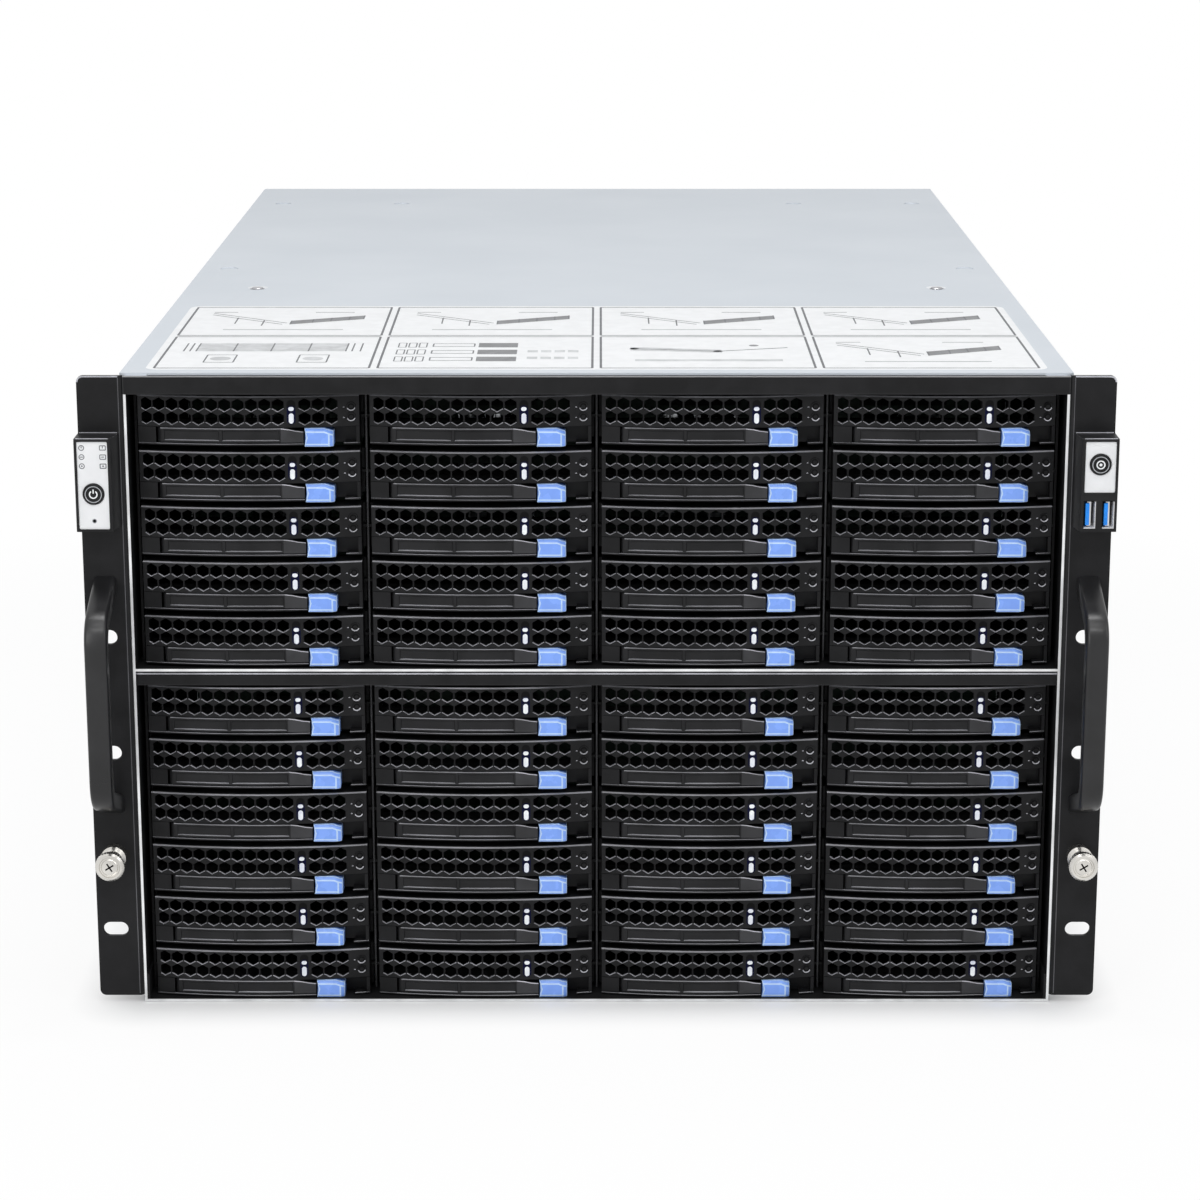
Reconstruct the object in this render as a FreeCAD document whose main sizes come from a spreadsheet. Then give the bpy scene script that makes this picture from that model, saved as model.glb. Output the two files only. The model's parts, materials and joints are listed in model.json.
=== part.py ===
import FreeCAD, Part
import os
import re

import Sketcher

# Rackmount server chassis, seven rack units tall, with hot-swap drive trays in four columns.
# Millimetres: X to the right, Y to the rear, Z up, origin at the middle of the underside.

# How many of each repeated thing there are
COLUMNS = 4
UPPER_ROWS = 5
LOWER_ROWS = 6
HOLE_COLUMNS = 15
HOLE_ROWS = 2
PIPE_POSITION = 11
FAN_COLUMNS = 3
FAN_BLADES = 7
FAN_BORE_SIDES = 32
FAN_HUB_SIDES = 21
EXPANSION_SLOTS = 7
VENT_COLUMNS = 20
VENT_ROWS = 2

# The two trays that are modelled in full and move: their column and row, counted from zero
UPPER_LIVE_TRAY = (1, 2)
LOWER_LIVE_TRAY = (2, 3)

# Driving dimensions
SIZES = {
    # How far a cut runs past the face it opens
    "overcut": 1,
    # Sheet-metal body
    "wall": 1.2,
    "body_depth": 680,
    "side_margin": 2,
    "panel_flange": 10,
    "pan_flange": 14,
    "cover_gap": 0.3,
    "cover_flange": 12,
    "cover_setback": 1,
    "dimple_radius": 5,
    "dimple_depth": 0.5,
    "side_dimple_x": 206,
    "side_dimple_y": 325,
    "rear_dimple_x": 202,
    "rear_dimple_y": 604,
    "inner_dimple_x": 126,
    "cover_screw_x": 183,
    "cover_screw_radius": 1.5,
    "cover_screw_head": 3.3,
    "cover_screw_length": 8,
    "cover_screw_rise": 0.5,
    # Front beams
    "top_beam_height": 8.75,
    "mid_beam_height": 7.3,
    "beam_depth": 14,
    "beam_gap": 1.2,
    "floor_gap": 0.5,
    # Drive bays
    "column_pitch": 108.4,
    "row_pitch": 26.6,
    "bay_depth": 205,
    "cage_setback": 16,
    "rib_thickness": 1.2,
    "rib_clearance": 0.3,
    "backplane_thickness": 2,
    "backplane_margin": 1,
    "socket_width": 42,
    "socket_height": 7,
    "socket_depth": 6,
    # Drive trays
    "bezel_width": 103.5,
    "bezel_height": 23.6,
    "bezel_bulge": 5,
    "bezel_setback": 1,
    "bezel_depth": 17,
    "bezel_wall": 1.8,
    "bezel_web": 1,
    "hole_width": 5.2,
    "hole_pitch": 6.2,
    "hole_row_pitch": 6.5,
    "hole_inset": 3.9,
    "pipe_width": 2.4,
    "pipe_height": 5.2,
    "pipe_top_height": 2.4,
    "pipe_z": 13.6,
    "pipe_top_z": 18.1,
    "lever_zone": 8.6,
    "lever_lip": 1,
    "lever_gap": 0.3,
    "lever_thickness": 5.2,
    "lever_recess": 0.6,
    "lever_rim": 1.2,
    "lever_neck": 11,
    "lever_taper": 1.6,
    "pivot_inset": 11.65,
    "pin_radius": 1,
    "pin_clearance": 0.06,
    "latch_left": 26.1,
    "latch_width": 13.7,
    "latch_travel": 4.5,
    "latch_proud": 1.6,
    "latch_drop": 0.5,
    "latch_slope": 1.2,
    "slot_margin": 1.5,
    "rail_thickness": 2.1,
    "rail_clearance": 0.6,
    "rail_margin": 1.2,
    "groove_depth": 1.4,
    "tray_length": 165,
    "tray_bar": 3,
    # Rack ears, handles and thumbscrews
    "ear_width": 21.3,
    "ear_thickness": 2,
    "ear_bottom": 4,
    "ear_top_gap": 0.85,
    "ear_corner": 3,
    "ear_bend": 2,
    "ear_leg": 60,
    "ear_leg_gap": 1,
    "slot_inset": 8.75,
    "slot_length": 12,
    "slot_width": 7,
    "low_slot_z": 38.1,
    "mid_slot_z": 127,
    "high_slot_z": 184.15,
    "handle_inset": 9.9,
    "handle_z": 155.5,
    "handle_span": 117,
    "handle_grip": 92,
    "handle_reach": 38,
    "handle_width": 10.5,
    "handle_thickness": 9,
    "handle_bend": 9,
    "handle_edge": 3,
    "handle_screw_radius": 1.6,
    "handle_screw_head": 3,
    "handle_screw_length": 7.5,
    "head_depth": 1.2,
    "screw_clearance": 0.1,
    "thumb_z": 76.2,
    "thumb_inset": 9.9,
    "thumb_shank": 3.2,
    "thumb_thread": 2.5,
    "thumb_shoulder": 0.5,
    "thumb_head": 7,
    "thumb_waist": 4.6,
    "thumb_flange": 6,
    "thumb_length": 16,
    "thumb_reach": 12,
    "collar_radius": 5.5,
    "collar_length": 4.5,
    "running_clearance": 0.06,
    # Control panels on the ears
    "panel_z": 238.5,
    "panel_height": 44,
    "panel_reach": 14,
    "panel_base": 18.8,
    "panel_front": 16.8,
    "plate_thickness": 0.8,
    "plate_margin": 0.8,
    "plate_height": 25,
    "button_radius": 5,
    "button_length": 6,
    "button_proud": 1,
    "button_travel": 1.2,
    "button_drop": 26,
    "locate_drop": 12,
    "usb_width": 5.7,
    "usb_height": 13.1,
    "usb_depth": 12,
    "usb_wall": 0.3,
    "usb_pitch": 8.6,
    "usb_lift": 8.2,
    "tongue_thickness": 1.84,
    "tongue_margin": 0.8,
    "tongue_back": 2,
    # Fans
    "fan_size": 120,
    "fan_depth": 25,
    "fan_pitch": 130,
    "fan_setback": 36,
    "fan_bore": 58,
    "fan_hub": 21,
    "fan_tip_gap": 1.2,
    "fan_base": 4,
    "fan_strut": 6,
    "fan_shaft": 2,
    "fan_end_gap": 0.5,
    "blade_thickness": 1.6,
    "blade_chord": 22,
    "blade_rise": 12,
    "blade_root": 3,
    "fan_rail_gap": 26,
    "fan_rail_wall": 1.5,
    # Power supplies
    "psu_width": 73.5,
    "psu_height": 40,
    "psu_length": 185,
    "psu_gap": 0.4,
    "psu_inset": 16.8,
    "psu_handle_reach": 22,
    "psu_handle_width": 28,
    "psu_handle_bar": 4,
    "psu_handle_height": 8,
    "psu_handle_inset": 30.5,
    "inlet_width": 27,
    "inlet_height": 20,
    "inlet_depth": 14,
    "inlet_inset": 3,
    "inlet_lift": 4,
    "latch_pocket_width": 10,
    "latch_pocket_height": 8,
    "latch_pocket_depth": 8,
    "psu_latch_width": 6.5,
    "psu_latch_proud": 9,
    "psu_latch_gap": 0.3,
    # Rear panel
    "io_width": 158.75,
    "io_height": 44.45,
    "io_z": 5.5,
    "io_gap": 9.6,
    "expansion_pitch": 20.32,
    "expansion_gap": 16,
    "expansion_width": 13,
    "expansion_height": 98,
    "expansion_z": 12,
    "cover_plate_width": 18.4,
    "cover_plate_thickness": 0.9,
    "cover_plate_margin": 6,
    "cover_plate_tab": 11,
    "vent_z": 130,
    "vent_margin": 16,
    "vent_overlap": 6,
    "vent_slot_width": 8,
    "vent_slot_pitch": 20,
    "vent_slot_height": 62,
    "vent_row_pitch": 76,
    # Board standoffs on the hole pattern of a full-size board
    "standoff_radius": 3.2,
    "standoff_height": 6.5,
    "standoff_bore": 1.5,
    "board_side_gap": 4.25,
    "board_rear_gap": 12,
    "hole_step_a": 124.46,
    "hole_step_b": 157.48,
    "hole_step_c": 154.94,
    "hole_step_d": 72.39,
}

# Places that follow from the driving dimensions
PLACES = {
    "front_y": "-body_depth / 2",
    "rear_y": "body_depth / 2",
    "ear_y": "front_y - ear_thickness",
    "backplane_y": "front_y + bay_depth",
    "bays_half": f"{COLUMNS} * column_pitch / 2",
    "inner_half": "bays_half + side_margin",
    "body_half": "inner_half + wall",
    "rack_half": "body_half + ear_width",
    "slot_x": "rack_half - slot_inset",
    "handle_x": "rack_half - handle_inset",
    "thumb_x": "rack_half - thumb_inset",
    # The stack of bays sets the height of the body
    "lower_z": "wall + floor_gap",
    "lower_top": f"lower_z + {LOWER_ROWS - 1} * row_pitch + bezel_height",
    "mid_z": "lower_top + beam_gap",
    "shelf_z": "mid_z + mid_beam_height",
    "shelf_top": "shelf_z + wall",
    "upper_z": "shelf_top + beam_gap",
    "upper_top": f"upper_z + {UPPER_ROWS - 1} * row_pitch + bezel_height",
    "top_beam_z": "upper_top + beam_gap",
    "cover_z": "top_beam_z + top_beam_height",
    "cover_top": "cover_z + wall",
    "flange_z": "cover_z - wall",
    "ear_top": "cover_top - ear_top_gap",
    "ear_leg_top": "cover_top - cover_flange - ear_leg_gap",
    # Bezel arc and what sits behind it
    "bezel_half": "bezel_width / 2",
    "bezel_radius": "(bezel_half ^ 2 + bezel_bulge ^ 2) / (2 * bezel_bulge)",
    "bezel_back": "bezel_setback + bezel_depth",
    "bezel_end": "bezel_setback + bezel_bulge",
    "grille_z": "(lever_zone + bezel_height) / 2",
    "first_hole_x": "hole_inset - bezel_half",
    "first_hole_z": "grille_z - hole_row_pitch / 2",
    "pipe_x": f"first_hole_x + {PIPE_POSITION} * hole_pitch",
    "pivot_x": "pivot_inset - bezel_half",
    "boss_radius": "lever_thickness / 2",
    "lever_tip": "latch_left - lever_gap",
    "lever_low": "lever_lip + lever_gap",
    "lever_high": "lever_zone - lever_gap",
    "slot_left": "pivot_x - boss_radius - 2 * lever_gap",
    "slot_right": "bezel_half - slot_margin",
    "slot_back": "bezel_end + lever_thickness + 2 * lever_gap",
    "latch_right": "latch_left + latch_width",
    "rail_outer": "column_pitch / 2 - wall / 2 - rail_clearance",
    "rail_inner": "rail_outer - rail_thickness",
    "rib_reach": "rail_outer - groove_depth + rib_clearance",
    "rib_z": "bezel_height / 2",
    "tray_back": "bezel_back + tray_length",
    # Handle centre line
    "handle_base_half": "(handle_span - handle_thickness) / 2",
    "handle_grip_half": "(handle_grip - handle_thickness) / 2",
    "handle_run": "handle_reach - handle_thickness / 2",
    "handle_drop": "handle_base_half - handle_grip_half",
    "handle_leg": "sqrt(handle_run ^ 2 + handle_drop ^ 2)",
    "handle_tangent": "handle_bend * (handle_leg - handle_drop) / handle_run",
    # Control panels
    "panel_top": "panel_z + panel_height",
    "panel_y": "ear_y - panel_reach",
    "panel_mid": "rack_half - panel_front / 2",
    "button_z": "panel_top - button_drop",
    "locate_z": "panel_top - locate_drop",
    "usb_z": "panel_z + usb_lift",
    "plate_z": "panel_top - plate_margin - plate_height",
    # Fans
    "fan_y": "backplane_y + fan_setback",
    "fan_low_z": "cover_z / 2 - fan_rail_gap / 2 - fan_size",
    "fan_high_z": "cover_z / 2 + fan_rail_gap / 2",
    "fan_hub_back": "fan_depth - fan_base - fan_end_gap",
    "cover_screw_y": "fan_y + fan_depth / 2",
    # Power supplies and their cage
    "psu_right": "inner_half - psu_inset",
    "psu_left": "psu_right - psu_width",
    "psu_low_z": "wall + psu_gap",
    "psu_shelf_z": "psu_low_z + psu_height + psu_gap",
    "psu_high_z": "psu_shelf_z + wall + psu_gap",
    "psu_roof_z": "psu_high_z + psu_height + psu_gap",
    "psu_front_y": "rear_y - psu_length",
    # Rear panel
    "inside_y": "rear_y - wall",
    "io_right": "psu_left - io_gap",
    "io_left": "io_right - io_width",
    "expansion_x": "io_left - expansion_gap",
    "vent_half": "inner_half - vent_margin",
    "vent_top": "cover_z - vent_margin",
    "board_x": "io_right - board_side_gap",
    "board_y": "inside_y - board_rear_gap",
}

# Where the standoffs stand, as a grid
BOARD_HOLES_X = ("board_x", "board_x - hole_step_a", "board_x - hole_step_a - hole_step_b")
BOARD_HOLES_Y = ("board_y", "board_y - hole_step_c", "board_y - hole_step_c - hole_step_d")

doc = FreeCAD.newDocument("RackServerChassis")
NODES = []


def formula(text, inside_places=False):
    """Turn plain names into references to the cells of the two sheets."""

    def refer(match):
        word = match.group()
        if word in SIZES:
            return "Sizes." + word
        if word in PLACES and not inside_places:
            return "Places." + word
        return word

    return re.sub(r"[a-z][a-z_]*", refer, text)


def fill_sheet(name, cells):
    """Make a sheet with a name and an aliased cell on each row."""
    made = doc.addObject("Spreadsheet::Sheet", name)
    for row, (alias, content) in enumerate(cells.items(), 1):
        made.set(f"A{row}", alias)
        made.set(f"B{row}", str(content))
        made.setAlias(f"B{row}", alias)
    doc.recompute()
    return made


sizes = fill_sheet("Sizes", SIZES)
places = fill_sheet("Places", {alias: "=" + formula(text, True) for alias, text in PLACES.items()})


def value(text):
    """Work out a formula from the sheets."""
    return float(sizes.evalExpression(formula(text)))


def bind(thing, field, text):
    thing.setExpression(field, formula(text))


def place(thing, x="0", y="0", z="0"):
    for axis, text in zip("xyz", (x, y, z)):
        bind(thing, f"Placement.Base.{axis}", text)
    return thing


def node(thing, label):
    """Name a finished piece, which also names its file."""
    thing.Label = label
    NODES.append(thing)
    return thing


def new_body(name):
    return doc.addObject("PartDesign::Body", name)


def new_sketch(body, plane, level):
    """A sketch on one of the body's own origin planes, moved to a level along X, Y or Z."""
    sketch = body.newObject("Sketcher::SketchObject", body.Name + "Sketch")
    support = [part for part in body.Origin.OriginFeatures if part.Role == plane][0]
    sketch.AttachmentSupport = (support, [""])
    sketch.MapMode = "FlatFace"
    sign = "-" if plane == "XZ_Plane" else ""
    bind(sketch, "AttachmentOffset.Base.z", f"{sign}({level})")
    return sketch


def fix_point(sketch, geometry, spot, x, y):
    """Hold one point of a sketch at formulas for its two coordinates."""
    for kind, text in (("DistanceX", x), ("DistanceY", y)):
        held = sketch.addConstraint(Sketcher.Constraint(kind, -1, 1, geometry, spot, value(text)))
        bind(sketch, f"Constraints[{held}]", text)


def arc_between(start, end, radius, side):
    """An arc that bulges to the right of its travel (side 1) or to the left (side -1)."""
    chord = end - start
    half = chord.Length / 2
    rise = radius - max(radius ** 2 - half ** 2, 0) ** 0.5
    right = FreeCAD.Vector(chord.y, -chord.x, 0).normalize()
    middle = start + chord / 2 + right * (rise * side)
    return Part.Arc(start, middle, end) if side > 0 else Part.Arc(end, middle, start)


def draw(sketch, corners, arcs=None, closed=True):
    """Add an outline through corners; arcs gives (radius, side) for edges by their first corner."""
    arcs = arcs or {}
    points = [FreeCAD.Vector(value(x), value(y), 0) for x, y in corners]
    count = len(points) if closed else len(points) - 1
    edges = []
    for index in range(count):
        start = points[index]
        end = points[(index + 1) % len(points)]
        if index in arcs:
            radius, side = arcs[index]
            curve = arc_between(start, end, value(radius), side)
        else:
            curve = Part.LineSegment(start, end)
        geometry = sketch.addGeometry(curve, False)
        forward = sketch.Geometry[geometry].StartPoint.distanceToPoint(start) < 1e-6
        edges.append((geometry, 1, 2) if forward else (geometry, 2, 1))
        fix_point(sketch, geometry, edges[-1][1], *corners[index])
        if index in arcs:
            held = sketch.addConstraint(Sketcher.Constraint("Radius", geometry, value(radius)))
            bind(sketch, f"Constraints[{held}]", radius)
    for (first, _, leaves), (second, enters, _) in zip(edges, edges[1:]):
        sketch.addConstraint(Sketcher.Constraint("Coincident", first, leaves, second, enters))
    if closed:
        sketch.addConstraint(
            Sketcher.Constraint("Coincident", edges[-1][0], edges[-1][2], edges[0][0], edges[0][1])
        )
    else:
        fix_point(sketch, edges[-1][0], edges[-1][2], *corners[-1])


def outline(body, plane, level, corners, arcs=None, closed=True):
    sketch = new_sketch(body, plane, level)
    draw(sketch, corners, arcs, closed)
    return sketch


def circles(body, plane, level, centres, radius):
    """A sketch of equal circles."""
    sketch = new_sketch(body, plane, level)
    normal = FreeCAD.Vector(0, 0, 1)
    for x, y in centres:
        middle = FreeCAD.Vector(value(x), value(y), 0)
        geometry = sketch.addGeometry(Part.Circle(middle, normal, value(radius)), False)
        fix_point(sketch, geometry, 3, x, y)
        held = sketch.addConstraint(Sketcher.Constraint("Radius", geometry, value(radius)))
        bind(sketch, f"Constraints[{held}]", radius)
    return sketch


def rectangle(x_low, x_high, y_low, y_high):
    return [(x_low, y_low), (x_high, y_low), (x_high, y_high), (x_low, y_high)]


def chamfered(x_low, x_high, y_low, y_high, size):
    """A rectangle with its corners cut off."""
    return [
        (f"{x_low} + {size}", y_low),
        (f"{x_high} - {size}", y_low),
        (x_high, f"{y_low} + {size}"),
        (x_high, f"{y_high} - {size}"),
        (f"{x_high} - {size}", y_high),
        (f"{x_low} + {size}", y_high),
        (x_low, f"{y_high} - {size}"),
        (x_low, f"{y_low} + {size}"),
    ]


def polygon(radius, sides):
    """A regular outline about the origin."""
    turns = [f"{360 * side / sides}deg" for side in range(sides)]
    return [(f"{radius} * cos({turn})", f"{radius} * sin({turn})") for turn in turns]


def pad(body, sketch, length):
    """Raise a sketch towards plus X, Y or Z."""
    feature = body.newObject("PartDesign::Pad", sketch.Name + "Pad")
    feature.Profile = sketch
    bind(feature, "Length", length)
    feature.Reversed = "XZ" in sketch.AttachmentSupport[0][0].Role
    return feature


def pocket(body, sketch, length):
    """Cut a sketch towards plus X, Y or Z."""
    feature = body.newObject("PartDesign::Pocket", sketch.Name + "Pocket")
    feature.Profile = sketch
    bind(feature, "Length", length)
    feature.Reversed = "XZ" not in sketch.AttachmentSupport[0][0].Role
    return feature


def extrude(body, plane, low, high, corners, arcs=None):
    return pad(body, outline(body, plane, low, corners, arcs), f"({high}) - ({low})")


def carve(body, plane, low, high, corners, arcs=None):
    return pocket(body, outline(body, plane, low, corners, arcs), f"({high}) - ({low})")


def extrude_circle(body, plane, low, high, x, y, radius):
    return pad(body, circles(body, plane, low, [(x, y)], radius), f"({high}) - ({low})")


def carve_circles(body, plane, low, high, centres, radius):
    return pocket(body, circles(body, plane, low, centres, radius), f"({high}) - ({low})")


def pattern(body, feature, *ways):
    """Repeat a feature along axes of its sketch, each way given as (axis, count, spacing)."""
    whole = body.newObject("PartDesign::MultiTransform", feature.Name + "Pattern")
    whole.Originals = [feature]
    rows = []
    for axis, count, spacing in ways:
        row = body.newObject("PartDesign::LinearPattern", feature.Name + "Row")
        row.Direction = (feature.Profile[0], [axis])
        row.Mode = "Spacing"
        row.Occurrences = count
        bind(row, "Offset", spacing)
        rows.append(row)
    whole.Transformations = rows
    body.Tip = whole
    return whole


def turned(name, plane, corners):
    """A piece turned about the vertical axis of its sketch."""
    body = new_body(name)
    sketch = outline(body, plane, "0", corners)
    feature = body.newObject("PartDesign::Revolution", name + "Turn")
    feature.Profile = sketch
    feature.ReferenceAxis = (sketch, ["V_Axis"])
    feature.Angle = 360
    return body


def slab(name, x_low, x_high, y_low, y_high, z_low, z_high):
    """A box between named places."""
    box = doc.addObject("Part::Box", name)
    bind(box, "Length", f"({x_high}) - ({x_low})")
    bind(box, "Width", f"({y_high}) - ({y_low})")
    bind(box, "Height", f"({z_high}) - ({z_low})")
    return place(box, x_low, y_low, z_low)


def cut(name, base, tool):
    difference = doc.addObject("Part::Cut", name)
    difference.Base = base
    difference.Tool = tool
    return difference


def group(name, pieces):
    """Separate solids that share one node."""
    together = doc.addObject("Part::Compound", name)
    together.Links = pieces
    return together


def copies(name, master, spots):
    """Separate copies of a master piece at several places, in one node."""
    doc.recompute()
    shapes = []
    for x, y, z in spots:
        copy = master.Shape.copy()
        copy.translate(FreeCAD.Vector(value(x), value(y), value(z)))
        shapes.append(copy)
    together = doc.addObject("Part::Feature", name)
    together.Shape = Part.makeCompound(shapes)
    together.Placement = FreeCAD.Placement()
    return together


def one_copy(name, master, x, y, z):
    """A copy of a master piece as a piece of its own."""
    doc.recompute()
    single = doc.addObject("Part::Feature", name)
    single.Shape = master.Shape.copy()
    single.Placement = FreeCAD.Placement(FreeCAD.Vector(value(x), value(y), value(z)), FreeCAD.Rotation())
    return single


def column_x(column):
    return f"({column} - {(COLUMNS - 1) / 2}) * column_pitch"


# Base pan: floor with a low upright flange along each side, and holes under the standoffs
def make_base_pan():
    body = new_body("BasePan")
    corners = [
        ("-body_half", "0"),
        ("body_half", "0"),
        ("body_half", "wall"),
        ("inner_half", "wall"),
        ("inner_half", "pan_flange"),
        ("inner_half - wall", "pan_flange"),
        ("inner_half - wall", "wall"),
        ("wall - inner_half", "wall"),
        ("wall - inner_half", "pan_flange"),
        ("-inner_half", "pan_flange"),
        ("-inner_half", "wall"),
        ("-body_half", "wall"),
    ]
    extrude(body, "XZ_Plane", "front_y", "inside_y", corners)
    extrude(body, "XZ_Plane", "inside_y", "rear_y", rectangle("-body_half", "body_half", "0", "wall"))
    carve_circles(body, "XY_Plane", "-overcut", "wall + overcut",
                  [(x, y) for x in BOARD_HOLES_X for y in BOARD_HOLES_Y], "standoff_bore")
    node(body, "base_pan")


# Side panels: upright sheets with an inward flange that carries the cover
def make_side_panel(label, side):
    body = new_body("SidePanel")
    corners = [
        (f"{side} * body_half", "wall"),
        (f"{side} * inner_half", "wall"),
        (f"{side} * inner_half", "flange_z"),
        (f"{side} * (inner_half - panel_flange)", "flange_z"),
        (f"{side} * (inner_half - panel_flange)", "cover_z"),
        (f"{side} * body_half", "cover_z"),
    ]
    extrude(body, "XZ_Plane", "front_y", "inside_y", corners)
    plate = rectangle(f"{side} * body_half", f"{side} * inner_half", "wall", "cover_z")
    extrude(body, "XZ_Plane", "inside_y", "rear_y", plate)
    node(body, label)


# Top cover: one sheet with a flange folded down outside each side panel
def make_top_cover():
    body = new_body("TopCover")
    outer = "(body_half + cover_gap + wall)"
    inner = "(body_half + cover_gap)"
    corners = [
        (f"-{outer}", "cover_top - cover_flange"),
        (f"-{inner}", "cover_top - cover_flange"),
        (f"-{inner}", "cover_z"),
        (inner, "cover_z"),
        (inner, "cover_top - cover_flange"),
        (outer, "cover_top - cover_flange"),
        (outer, "cover_top"),
        (f"-{outer}", "cover_top"),
    ]
    extrude(body, "XZ_Plane", "front_y + cover_setback", "rear_y", corners)
    spots = []
    for side in (-1, 1):
        spots.append((f"{side} * side_dimple_x", "front_y + side_dimple_y"))
        spots.append((f"{side} * rear_dimple_x", "front_y + rear_dimple_y"))
        spots.append((f"{side} * inner_dimple_x", "front_y + rear_dimple_y"))
    carve_circles(body, "XY_Plane", "cover_top - dimple_depth", "cover_top + wall", spots, "dimple_radius")
    holes = [(f"{side} * cover_screw_x", "cover_screw_y") for side in (-1, 1)]
    carve_circles(body, "XY_Plane", "cover_z - wall", "cover_top + wall", holes,
                  "cover_screw_head + screw_clearance")
    node(body, "top_cover")

    screw = turned("CoverScrew", "XZ_Plane", [
        ("0", "wall + cover_screw_rise"),
        ("cover_screw_head - cover_screw_rise", "wall + cover_screw_rise"),
        ("cover_screw_head", "wall"),
        ("cover_screw_head", "0"),
        ("cover_screw_radius", "0"),
        ("cover_screw_radius", "-cover_screw_length"),
        ("0", "-cover_screw_length"),
    ])
    spots = [(x, y, "cover_z") for x, y in holes]
    node(copies("CoverScrews", screw, spots), "cover_screws")


# Front beams: the top beam has a face plate over the sheet edges and a channel behind it
def make_beams():
    body = new_body("TopBeam")
    extrude(body, "XZ_Plane", "front_y - wall", "front_y",
            rectangle("-body_half", "body_half", "top_beam_z", "cover_z"))
    for low in ("top_beam_z", "flange_z - wall"):
        extrude(body, "XZ_Plane", "front_y", "front_y + beam_depth",
                rectangle("-inner_half", "inner_half", low, f"{low} + wall"))
    node(body, "front_top_beam")

    body = new_body("MidBeam")
    channel = [
        ("front_y + wall", "mid_z"),
        ("front_y + beam_depth", "mid_z"),
        ("front_y + beam_depth", "mid_z + wall"),
        ("front_y + 2 * wall", "mid_z + wall"),
        ("front_y + 2 * wall", "shelf_z - wall"),
        ("front_y + beam_depth", "shelf_z - wall"),
        ("front_y + beam_depth", "shelf_z"),
        ("front_y + wall", "shelf_z"),
    ]
    extrude(body, "YZ_Plane", "-inner_half", "inner_half", channel)
    node(body, "front_mid_beam")


# Drive cages: upright dividers with a runner rib on each side of every row
def make_divider(column, z_low, z_high, first_z, rows):
    body = new_body("Divider")
    x = f"({column - COLUMNS / 2}) * column_pitch"
    extrude(body, "XZ_Plane", "front_y + cage_setback", "backplane_y",
            rectangle(f"{x} - wall / 2", f"{x} + wall / 2", z_low, z_high))
    reach = "(column_pitch / 2 - rib_reach)"
    left = "0" if column == 0 else reach
    right = "0" if column == COLUMNS else reach
    rib_z = f"{first_z} + rib_z"
    rib = extrude(body, "XZ_Plane", "front_y + cage_setback", "backplane_y",
                  rectangle(f"{x} - {left}", f"{x} + {right}",
                            f"{rib_z} - rib_thickness / 2", f"{rib_z} + rib_thickness / 2"))
    pattern(body, rib, ("V_Axis", rows, "row_pitch"))
    return body


def make_cages():
    lower = [make_divider(column, "wall", "shelf_z", "lower_z", LOWER_ROWS)
             for column in range(COLUMNS + 1)]
    node(group("LowerCage", lower), "drive_cage_lower")
    roof_z = "flange_z - wall"
    upper = [make_divider(column, "shelf_top", roof_z, "upper_z", UPPER_ROWS)
             for column in range(COLUMNS + 1)]
    shelf = slab("CageShelf", "-inner_half", "inner_half", "front_y", "backplane_y", "shelf_z", "shelf_top")
    roof = slab("CageRoof", "-inner_half", "inner_half", "front_y + cage_setback", "backplane_y",
                roof_z, "flange_z")
    node(group("UpperCage", upper + [shelf, roof]), "drive_cage_upper")


# Backplanes: a board behind each block of trays, with a socket for every bay and air slots
def make_backplane(label, z_low, z_high, first_z, rows):
    body = new_body("Backplane")
    half = "(bays_half - backplane_margin)"
    extrude(body, "XZ_Plane", "backplane_y", "backplane_y + backplane_thickness",
            rectangle(f"-{half}", half, f"{z_low} + backplane_margin", f"{z_high} - backplane_margin"))
    x = column_x(0)
    z = f"{first_z} + rib_z"
    socket = extrude(body, "XZ_Plane", "backplane_y - socket_depth", "backplane_y",
                     rectangle(f"{x} - socket_width / 2", f"{x} + socket_width / 2",
                               f"{z} - socket_height / 2", f"{z} + socket_height / 2"))
    pattern(body, socket, ("H_Axis", COLUMNS, "column_pitch"), ("V_Axis", rows, "row_pitch"))
    air_z = f"{z} + row_pitch / 2"
    air = carve(body, "XZ_Plane", "backplane_y - overcut", "backplane_y + backplane_thickness + overcut",
                rectangle(f"{x} - socket_width / 2", f"{x} + socket_width / 2",
                          f"{air_z} - socket_height / 2", f"{air_z} + socket_height / 2"))
    pattern(body, air, ("H_Axis", COLUMNS, "column_pitch"), ("V_Axis", rows - 1, "row_pitch"))
    node(body, label)


# Tray bezel: a hollow shell with an arched front, two rows of hexagon holes, and a slot
# below them for the lever and its latch. Local frame: X from the column's middle, Y from
# the front of the body, Z from the bezel's underside.
def front_y_at(x, inset="0"):
    """Y of the bezel's front arc, or of an arc set in from it, at a place across the bezel."""
    return f"bezel_setback + bezel_radius - sqrt((bezel_radius - {inset}) ^ 2 - ({x}) ^ 2)"


def carve_holes(body, first, count):
    """Rows of hexagon holes with their points up and down."""
    x = f"first_hole_x + {first} * hole_pitch"
    half = "hole_width / 2"
    tall = "hole_width / sqrt(3)"
    hexagon = [
        (x, f"first_hole_z + {tall}"),
        (f"{x} - {half}", f"first_hole_z + {tall} / 2"),
        (f"{x} - {half}", f"first_hole_z - {tall} / 2"),
        (x, f"first_hole_z - {tall}"),
        (f"{x} + {half}", f"first_hole_z - {tall} / 2"),
        (f"{x} + {half}", f"first_hole_z + {tall} / 2"),
    ]
    hole = carve(body, "XZ_Plane", "0", "bezel_end + 2 * bezel_wall", hexagon)
    pattern(body, hole, ("H_Axis", count, "hole_pitch"), ("V_Axis", HOLE_ROWS, "hole_row_pitch"))


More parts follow.
